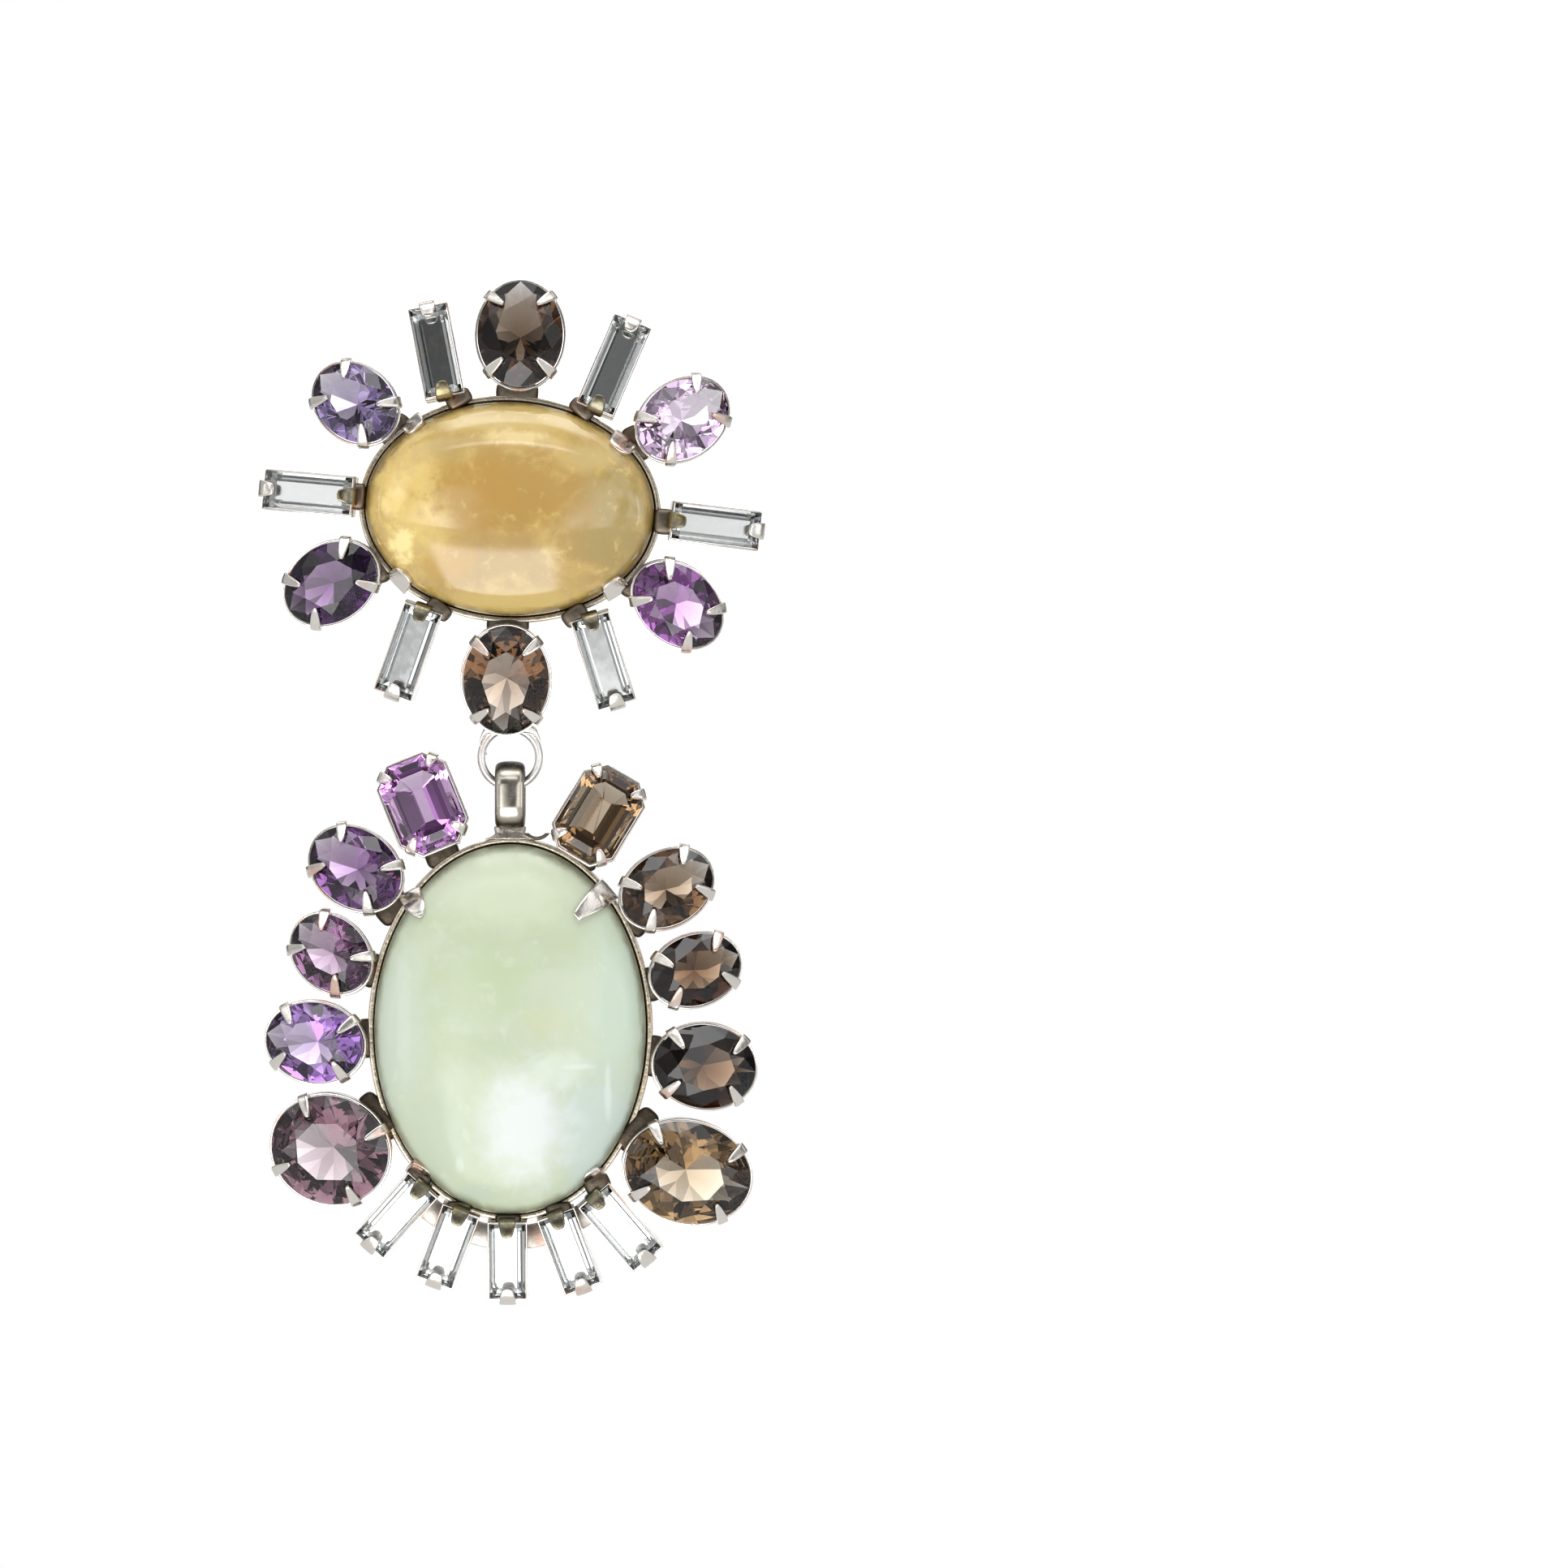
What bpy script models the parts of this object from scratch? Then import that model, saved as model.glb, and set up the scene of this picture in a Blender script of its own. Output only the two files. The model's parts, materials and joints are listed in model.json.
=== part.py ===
"""Drop earring: a cabochon cluster on an ear post, and a cabochon drop that swings on its ring.

Metres, +Z up. The front faces -Y and the ear post points +Y. The origin is the root of the ear
post's pin, on the back of its pad, where the ear lobe rests.

Each stone is cut in its own frame: u along its length, v across, w out of its table, with the
girdle at w = 0. Each setting is built in its stone's frame, so it follows the stone's size.
"""

import math
from typing import NamedTuple

import bmesh
import bpy
from mathutils import Matrix, Vector

# Cabochons
CITRINE_LENGTH = 0.0270
CITRINE_WIDTH = 0.0200
CITRINE_HEIGHT = 0.0068
CITRINE_TILT = -3.0
GREEN_LENGTH = 0.0346
GREEN_WIDTH = 0.0254
GREEN_HEIGHT = 0.0075
CABOCHON_BEVEL = 0.0006
CABOCHON_BASE_SHARE = 0.96
CABOCHON_SIDES = 32
CABOCHON_RINGS = 5

# Bezels round the cabochons
BEZEL_WALL = 0.0005
BEZEL_HEIGHT = 0.0034
BACK_PLATE = 0.0008
LEDGE_WIDTH = 0.0012
GIRDLE_RISE = 0.0003
CAB_CLAW_SIZE = 0.0010
CAB_CLAW_THICKNESS = 0.0006
CAB_CLAW_RISE = 0.0003
CAB_CLAW_BENDS = (0.2, 0.6, 1.0)

# What the stones' lengths and widths, and their gaps to the bezel, are shares of
STONE_SIZE = 0.0100
STONE_GAP = 0.0010

# Cut of the faceted stones, as shares of a stone's width
SEAT_GAP = 0.0001
GIRDLE_THICKNESS = 0.0003
CROWN_SHARE = 0.15
PAVILION_SHARE = 0.40
TABLE_SHARE = 0.56
CROWN_BREAK_SHARE = 0.80
LOWER_GIRDLE_SHARE = 0.28
FACET_PAIRS = 8
STEP_CROWN_SHARE = 0.16
STEP_TABLE_INSET = 0.19
STEP_PAVILION_SHARE = 0.42
STEP_CORNER_SHARE = 0.24
STEP_SHOULDER_INSET = 0.42
STEP_SHOULDER_RISE = 0.68
STEP_BREAK_INSET = 0.40
STEP_BREAK_DROP = 0.52
STEP_KEEL_INSET = 0.86
STEP_LEAST_CORNER = 0.30

# Settings of the faceted stones
RAY_HEIGHT = 0.0043
RAY_LEAN = 8.0
RIM_WALL = 0.00035
RIM_HEIGHT = 0.0009
GALLERY_DEPTH = 0.0027
GALLERY_INSET = 0.0009
GALLERY_WIRE = 0.00035
CLAW_WIDTH = 0.0010
CLAW_THICKNESS = 0.0005
CLAW_TIP_THICKNESS = 0.0004
CLAW_REACH = 0.0011
CLAW_RISE = 0.0004
CLAW_TAPER = 0.7
TROUGH_WALL = 0.0003
TROUGH_DEPTH = 0.0022
TONGUE_WIDTH = 0.0015
SOLDER_SHARE = 0.45

# Hanging ring, bail and the fan's backing
RING_RADIUS = 0.0027
RING_WIRE = 0.00038
RING_FRONT = 0.0024
RING_OVERLAP = 0.0009
RING_SHOULDER_WIDTH = 0.0026
RING_SHOULDER_DEPTH = 0.0010
BAIL_WIDTH = 0.0027
BAIL_THICKNESS = 0.0011
BAIL_CLEARANCE = 0.0003
BAIL_LENGTH = 0.0048
BAIL_FOOT = 0.0013
BAIL_NECK_WIDTH = 0.0030
BAIL_FOOT_WIDTH = 0.0034
BAIL_FOOT_DEPTH = 0.0018
BAIL_BENDS = 8
DROP_SET_BACK = 0.0011
FAN_BACKING_WIDTH = 0.0026
FAN_BACKING_THICKNESS = 0.0006
FAN_BACKING_OUT = 0.0022
FAN_BACKING_BENDS = 12

# Ear post
POST_RAISE = 0.0050
PAD_RADIUS = 0.0030
PAD_THICKNESS = 0.0010
PIN_RADIUS = 0.00045
PIN_LENGTH = 0.0105
PIN_GROOVE = 0.00012
POST_SIDES = 12

WIRE_SIDES = 6
RING_SIDES = 16
OVAL_SIDES = 2 * FACET_PAIRS
GALLERY_SIDES = FACET_PAIRS
SOLDER_BITE = 0.0002

FRONT = Vector((0.0, -1.0, 0.0))
RIGHT = Vector((1.0, 0.0, 0.0))
UP = Vector((0.0, 0.0, 1.0))

GEM_FINISH = {
    "amethyst": ((0.46, 0.24, 0.62), 0.05),
    "smoky": ((0.36, 0.22, 0.13), 0.05),
    "crystal": ((0.90, 0.91, 0.88), 0.04),
    "citrine": ((0.80, 0.62, 0.28), 0.12),
    "green": ((0.72, 0.80, 0.68), 0.18),
}


class Ray(NamedTuple):
    """One faceted stone beside a cabochon, seen from the front.

    clock is the direction from the cabochon's centre, anticlockwise from +X, and turn is the
    angle from there to the stone's length. The last three are the stone's length and width, as
    shares of the stones' size, and its room to the bezel, as a share of the stones' gap.
    """

    name: str
    cut: str
    gem: str
    clock: float
    turn: float
    length_share: float
    width_share: float
    gap_share: float

    @property
    def length(self):
        """The stone's length."""
        return self.length_share * STONE_SIZE

    @property
    def width(self):
        """The stone's width."""
        return self.width_share * STONE_SIZE

    @property
    def gap(self):
        """The room between the bezel and the stone."""
        return self.gap_share * STONE_GAP


class CabClaw(NamedTuple):
    """One broad claw that folds over a cabochon.

    clock is its direction, and its width and reach are shares of the broad claws' size.
    """

    clock: float
    width_share: float
    reach_share: float

    @property
    def width(self):
        """The claw's width."""
        return self.width_share * CAB_CLAW_SIZE

    @property
    def reach(self):
        """How far the claw reaches in over the cabochon."""
        return self.reach_share * CAB_CLAW_SIZE


CLUSTER_RAYS = (
    Ray("cluster_smoky_top", "oval", "smoky", 86.5, 3.5, 1.00, 0.80, 0.70),
    Ray("cluster_crystal_1", "baguette", "crystal", 115.0, -14.0, 0.84, 0.34, 0.80),
    Ray("cluster_amethyst_1", "oval", "amethyst", 145.6, -4.1, 0.85, 0.68, 0.40),
    Ray("cluster_crystal_2", "baguette", "crystal", 175.4, -0.9, 0.82, 0.34, 0.70),
    Ray("cluster_amethyst_2", "oval", "amethyst", 202.6, 10.4, 0.92, 0.71, 0.30),
    Ray("cluster_crystal_3", "baguette", "crystal", 234.6, 15.4, 0.84, 0.34, 0.70),
    Ray("cluster_smoky_bottom", "oval", "smoky", 268.9, 1.1, 1.00, 0.80, 0.40),
    Ray("cluster_crystal_4", "baguette", "crystal", 301.7, -14.7, 0.84, 0.34, 0.90),
    Ray("cluster_amethyst_3", "oval", "amethyst", 330.3, -11.8, 0.92, 0.69, 0.40),
    Ray("cluster_crystal_5", "baguette", "crystal", 355.3, -2.3, 0.81, 0.33, 1.20),
    Ray("cluster_amethyst_4", "oval", "amethyst", 27.3, 8.2, 0.91, 0.70, 0.80),
    Ray("cluster_crystal_6", "baguette", "crystal", 53.9, 12.9, 0.88, 0.34, 0.70),
)
HANGING_RAY = "cluster_smoky_bottom"

DROP_RAYS = (
    Ray("drop_amethyst_octagon", "octagon", "amethyst", 111.2, 1.8, 0.87, 0.65, 1.20),
    Ray("drop_amethyst_1", "oval", "amethyst", 133.8, 12.2, 0.92, 0.71, 1.10),
    Ray("drop_amethyst_2", "oval", "amethyst", 157.0, -20.0, 0.82, 0.65, 0.40),
    Ray("drop_amethyst_3", "oval", "amethyst", 183.8, -13.8, 0.92, 0.74, 0.40),
    Ray("drop_amethyst_4", "oval", "amethyst", 213.8, -54.0, 1.11, 1.00, 0.70),
    Ray("drop_crystal_1", "baguette", "crystal", 238.5, -10.5, 0.74, 0.33, 0.50),
    Ray("drop_crystal_2", "baguette", "crystal", 254.0, -5.0, 0.70, 0.33, 0.30),
    Ray("drop_crystal_3", "baguette", "crystal", 269.4, 0.6, 0.70, 0.33, 0.30),
    Ray("drop_crystal_4", "baguette", "crystal", 285.0, 5.0, 0.72, 0.33, 0.50),
    Ray("drop_crystal_5", "baguette", "crystal", 299.2, 10.8, 0.76, 0.33, 1.00),
    Ray("drop_smoky_4", "oval", "smoky", 321.2, 23.8, 1.19, 0.94, 0.90),
    Ray("drop_smoky_3", "oval", "smoky", 349.2, 4.8, 0.95, 0.78, 0.40),
    Ray("drop_smoky_2", "oval", "smoky", 17.7, 2.3, 0.85, 0.65, 0.40),
    Ray("drop_smoky_1", "oval", "smoky", 41.9, -11.9, 0.90, 0.68, 0.40),
    Ray("drop_smoky_octagon", "octagon", "smoky", 67.5, -8.1, 0.86, 0.62, 0.40),
)
FAN_NAMES = ("drop_crystal_1", "drop_crystal_5")

CITRINE_CLAWS = (
    CabClaw(32.0, 2.20, 1.20),
    CabClaw(137.0, 2.20, 1.10),
    CabClaw(214.5, 2.00, 0.90),
    CabClaw(322.0, 2.20, 1.20),
)
GREEN_CLAWS = (
    CabClaw(57.0, 1.50, 3.10),
    CabClaw(128.5, 1.50, 2.10),
    CabClaw(236.5, 1.40, 0.70),
    CabClaw(297.0, 1.40, 0.70),
)


def clear_scene():
    """Remove what the open file holds."""
    for item in list(bpy.data.objects):
        bpy.data.objects.remove(item, do_unlink=True)


def material(name, colour, roughness, metallic):
    """Return a Principled material, made once for each name."""
    known = bpy.data.materials.get(name)
    if known:
        return known
    made = bpy.data.materials.new(name)
    made.use_nodes = True
    shader = made.node_tree.nodes["Principled BSDF"]
    shader.inputs["Base Color"].default_value = (*colour, 1.0)
    shader.inputs["Roughness"].default_value = roughness
    shader.inputs["Metallic"].default_value = metallic
    made.diffuse_color = (*colour, 1.0)
    return made


def silver():
    """Antique silver."""
    return material("silver", (0.62, 0.60, 0.56), 0.25, 1.0)


def gem(kind):
    """The finish of one kind of stone."""
    colour, roughness = GEM_FINISH[kind]
    return material(kind, colour, roughness, 0.0)


def place(name, mesh, matrix, parent, finish):
    """Add a mesh as an object under a pivot, at a world placement."""
    mesh.materials.append(finish)
    item = bpy.data.objects.new(name, mesh)
    bpy.context.scene.collection.objects.link(item)
    item.parent = parent
    item.matrix_parent_inverse = Matrix.Identity(4)
    item.matrix_local = Matrix.Translation(-parent.location) @ matrix
    return item


def pivot(name, location):
    """Add an empty that carries one body of the earring."""
    empty = bpy.data.objects.new(name, None)
    empty.location = location
    bpy.context.scene.collection.objects.link(empty)
    return empty


def mesh_from(bm, name):
    """Close a bmesh into a mesh with outward faces."""
    bmesh.ops.recalc_face_normals(bm, faces=bm.faces)
    mesh = bpy.data.meshes.new(name)
    bm.to_mesh(mesh)
    bm.free()
    return mesh


def add_ring(bm, points):
    """Add one closed section's vertices."""
    return [bm.verts.new(point) for point in points]


def skin(bm, low, high):
    """Join two sections of equal count with side faces."""
    count = len(low)
    for here in range(count):
        there = (here + 1) % count
        bm.faces.new((low[here], low[there], high[there], high[here]))


def loft(bm, sections):
    """Loft a closed solid through sections and cap both ends."""
    rings = [add_ring(bm, points) for points in sections]
    for low, high in zip(rings, rings[1:]):
        skin(bm, low, high)
    bm.faces.new(list(reversed(rings[0])))
    bm.faces.new(rings[-1])


def hoop(bm, sections):
    """Loft a closed hoop through sections that come back to the first."""
    rings = [add_ring(bm, points) for points in sections]
    for low, high in zip(rings, rings[1:] + rings[:1]):
        skin(bm, low, high)


def circle_points(count):
    """Unit circle points, anticlockwise."""
    angles = [math.tau * step / count for step in range(count)]
    return [(math.cos(angle), math.sin(angle)) for angle in angles]


def outline(cut, half_length, half_width, corner=0.0, sides=OVAL_SIDES):
    """Return a stone's outline as (u, v) points.

    corner is the octagon's cut, measured along each side, and sides is an oval's count.
    """
    if cut == "oval":
        return [(half_length * x, half_width * y) for x, y in circle_points(sides)]
    if cut == "baguette":
        return [(half_length, -half_width), (half_length, half_width),
                (-half_length, half_width), (-half_length, -half_width)]
    inner_length = half_length - corner
    inner_width = half_width - corner
    quarter = [(half_length, inner_width), (inner_length, half_width)]
    left = [(-u, v) for u, v in reversed(quarter)]
    return quarter + left + [(-u, -v) for u, v in quarter + left]


def octagon_corner(width, offset):
    """Return the corner cut of an octagon whose sides stand offset from a stone of this width."""
    return STEP_CORNER_SHARE * width + offset * (2.0 - math.sqrt(2.0))


def offset_outline(ray, offset, sides):
    """Return a stone's outline moved outwards by an offset."""
    corner = octagon_corner(ray.width, offset)
    return outline(ray.cut, ray.length / 2 + offset, ray.width / 2 + offset, corner, sides)


def outline_hoop(bm, ray, profile, sides=OVAL_SIDES):
    """Run a profile of (offset, height) pairs round a stone's outline."""
    hoop(bm, [[(u, v, height) for u, v in offset_outline(ray, offset, sides)]
              for offset, height in profile])


def bar(bm, path, side, widths, depths):
    """Sweep a rectangular section along a path that bends across the side direction."""
    sections = []
    last = len(path) - 1
    for index, point in enumerate(path):
        before = (point - path[index - 1]).normalized() if index else None
        after = (path[index + 1] - point).normalized() if index < last else None
        along = (before or after) + (after or before)
        along.normalize()
        across = side.cross(along).normalized()
        stretch = 1.0 / max(along.dot(after or before), 0.5)
        half_width = side * widths[index] / 2
        half_depth = across * depths[index] / 2 * stretch
        sections.append([
            point - half_width - half_depth,
            point + half_width - half_depth,
            point + half_width + half_depth,
            point - half_width + half_depth,
        ])
    loft(bm, sections)


def brilliant_points(ray):
    """Return the rings of an oval brilliant: table, crown break, girdle and pavilion break."""
    half_length = ray.length / 2
    half_width = ray.width / 2
    step = math.pi / FACET_PAIRS
    half_girdle = GIRDLE_THICKNESS / 2
    crown = CROWN_SHARE * ray.width
    pavilion = PAVILION_SHARE * ray.width

    def ring(share, height, count, shift):
        angles = [shift + math.tau * index / count for index in range(count)]
        return [(half_length * share * math.cos(angle), half_width * share * math.sin(angle), height)
                for angle in angles]

    break_rise = crown * (1.0 - CROWN_BREAK_SHARE * math.cos(step)) / (1.0 - TABLE_SHARE)
    lower_drop = pavilion * (1.0 - LOWER_GIRDLE_SHARE * math.cos(step))
    return {
        "table": ring(TABLE_SHARE, half_girdle + crown, FACET_PAIRS, 0.0),
        "crown": ring(CROWN_BREAK_SHARE, half_girdle + break_rise, FACET_PAIRS, step),
        "girdle_top": ring(1.0, half_girdle, 2 * FACET_PAIRS, 0.0),
        "girdle_low": ring(1.0, -half_girdle, 2 * FACET_PAIRS, 0.0),
        "pavilion": ring(LOWER_GIRDLE_SHARE, -half_girdle - lower_drop, FACET_PAIRS, step),
        "culet": [(0.0, 0.0, -half_girdle - pavilion)],
    }


def brilliant(ray):
    """Cut an oval brilliant with star, main and girdle facets over a faceted pavilion."""
    bm = bmesh.new()
    rings = {name: add_ring(bm, points) for name, points in brilliant_points(ray).items()}
    table, crown, pavilion = rings["table"], rings["crown"], rings["pavilion"]
    top, low, culet = rings["girdle_top"], rings["girdle_low"], rings["culet"][0]
    bm.faces.new(table)
    skin(bm, low, top)
    for index in range(FACET_PAIRS):
        following = (index + 1) % FACET_PAIRS
        main, middle = 2 * index, 2 * index + 1
        next_main = (middle + 1) % len(top)
        bm.faces.new((table[index], crown[index], table[following]))
        bm.faces.new((table[index], crown[index - 1], top[main], crown[index]))
        bm.faces.new((crown[index], top[main], top[middle]))
        bm.faces.new((crown[index], top[middle], top[next_main]))
        bm.faces.new((culet, pavilion[index - 1], low[main], pavilion[index]))
        bm.faces.new((pavilion[index], low[main], low[middle]))
        bm.faces.new((pavilion[index], low[middle], low[next_main]))
    return mesh_from(bm, ray.name)


def step_levels(ray):
    """Return a step cut's (offset, height) levels from the table to the keel."""
    half_girdle = GIRDLE_THICKNESS / 2
    inset = STEP_TABLE_INSET * ray.width
    crown = STEP_CROWN_SHARE * ray.width
    pavilion = STEP_PAVILION_SHARE * ray.width
    half_width = ray.width / 2
    return [
        (-inset, half_girdle + crown),
        (-STEP_SHOULDER_INSET * inset, half_girdle + STEP_SHOULDER_RISE * crown),
        (0.0, half_girdle),
        (0.0, -half_girdle),
        (-STEP_BREAK_INSET * half_width, -half_girdle - STEP_BREAK_DROP * pavilion),
        (-STEP_KEEL_INSET * half_width, -half_girdle - pavilion),
    ]


def step_cut(ray):
    """Cut a baguette or an octagon in steps."""
    bm = bmesh.new()
    sections = []
    for offset, height in step_levels(ray):
        half_width = ray.width / 2 + offset
        corner = max(octagon_corner(ray.width, offset), STEP_LEAST_CORNER * half_width)
        points = outline(ray.cut, ray.length / 2 + offset, half_width, corner)
        sections.append([(u, v, height) for u, v in points])
    loft(bm, sections)
    return mesh_from(bm, ray.name)


def claw_tip_height(ray):
    """Return the height at which a claw's tip clears the crown at the claw's reach."""
    clear = SEAT_GAP + CLAW_TIP_THICKNESS / 2
    if ray.cut != "oval":
        return GIRDLE_THICKNESS / 2 + STEP_CROWN_SHARE * ray.width + clear
    slope = 2 * CROWN_SHARE / (1.0 - TABLE_SHARE)
    on_slope = slope * CLAW_REACH + clear * math.hypot(1.0, slope)
    return GIRDLE_THICKNESS / 2 + min(on_slope, CROWN_SHARE * ray.width + clear)


def claw_bend_height(ray, stand, tip_height):
    """Return the height at which a claw bends, so that it clears a step cut's shoulder."""
    if ray.cut == "oval":
        return CLAW_RISE
    inset = STEP_SHOULDER_INSET * STEP_TABLE_INSET * ray.width
    shoulder = GIRDLE_THICKNESS / 2 + STEP_SHOULDER_RISE * STEP_CROWN_SHARE * ray.width
    clear = shoulder + SEAT_GAP + 1.1 * CLAW_THICKNESS / 2
    past = (clear - tip_height) * (stand + inset) / (CLAW_REACH - inset)
    return max(CLAW_RISE, clear + past)


def merge(bm, other):
    """Add another bmesh's faces to this one and free it."""
    piece = bpy.data.meshes.new("piece")
    other.to_mesh(piece)
    other.free()
    bm.from_mesh(piece)
    bpy.data.meshes.remove(piece)


def claw(bm, ray, point, normal, width, foot):
    """Bend one claw up past the girdle at a point and over the crown."""
    stand = SEAT_GAP + CLAW_THICKNESS / 2
    tip_height = claw_tip_height(ray)
    spots = [
        foot,
        (stand, -GIRDLE_THICKNESS / 2 - RIM_HEIGHT / 3),
        (stand, claw_bend_height(ray, stand, tip_height)),
        (-CLAW_REACH, tip_height),
    ]
    path = [point + normal * offset + Vector((0.0, 0.0, height)) for offset, height in spots]
    side = Vector((0.0, 0.0, 1.0)).cross(normal)
    widths = [CLAW_TAPER * width, width, width, CLAW_TAPER * width]
    depths = [CLAW_THICKNESS, CLAW_THICKNESS, CLAW_THICKNESS, CLAW_TIP_THICKNESS]
    bar(bm, path, side, widths, depths)


def claw_seats(ray):
    """Return where a stone's claws stand, as girdle points and outward normals."""
    half_length = ray.length / 2
    half_width = ray.width / 2
    if ray.cut == "baguette":
        return [(Vector((sign * half_length, 0.0, 0.0)), Vector((sign, 0.0, 0.0))) for sign in (1, -1)]
    seats = []
    inset = octagon_corner(ray.width, 0.0) / 2
    for u_sign, v_sign in ((1, 1), (-1, 1), (-1, -1), (1, -1)):
        if ray.cut == "oval":
            share = math.sqrt(0.5)
            point = Vector((u_sign * half_length * share, v_sign * half_width * share, 0.0))
            normal = Vector((u_sign / half_length, v_sign / half_width, 0.0)).normalized()
        else:
            point = Vector((u_sign * (half_length - inset), v_sign * (half_width - inset), 0.0))
            normal = Vector((u_sign, v_sign, 0.0)).normalized()
        seats.append((point, normal))
    return seats


def basket(bm, ray):
    """Build an open basket: a rim under the girdle, a gallery wire and four claws."""
    top = -GIRDLE_THICKNESS / 2
    outline_hoop(bm, ray, [
        (SEAT_GAP + RIM_WALL, top),
        (SEAT_GAP, top),
        (SEAT_GAP - 0.2 * RIM_HEIGHT, top - RIM_HEIGHT),
    ])
    outline_hoop(bm, ray, [
        (-GALLERY_INSET + GALLERY_WIRE, -GALLERY_DEPTH + GALLERY_WIRE / 2),
        (-GALLERY_INSET - GALLERY_WIRE, -GALLERY_DEPTH + GALLERY_WIRE / 2),
        (-GALLERY_INSET, -GALLERY_DEPTH - GALLERY_WIRE),
    ], GALLERY_SIDES)
    for point, normal in claw_seats(ray):
        claw(bm, ray, point, normal, CLAW_WIDTH, (-GALLERY_INSET, -GALLERY_DEPTH))


def trough(bm, ray):
    """Build a baguette's trough: an open box with a tongue over each end."""
    outline_hoop(bm, ray, [
        (SEAT_GAP + TROUGH_WALL, -GIRDLE_THICKNESS / 2),
        (SEAT_GAP, -GIRDLE_THICKNESS / 2),
        (SEAT_GAP - 0.3 * TROUGH_DEPTH / 2, -TROUGH_DEPTH),
        (0.7 * TROUGH_WALL, -TROUGH_DEPTH),
    ])
    for point, normal in claw_seats(ray):
        claw(bm, ray, point, normal, TONGUE_WIDTH, (0.0, -0.7 * TROUGH_DEPTH))


def ellipse_radius(half_length, half_width, clock):
    """Return an ellipse's radius in a direction, in degrees."""
    angle = math.radians(clock)
    return 1.0 / math.hypot(math.cos(angle) / half_length, math.sin(angle) / half_width)


def clock_direction(clock):
    """Return the unit vector of a clock direction in the front plane."""
    angle = math.radians(clock)
    return RIGHT * math.cos(angle) + UP * math.sin(angle)


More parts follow.
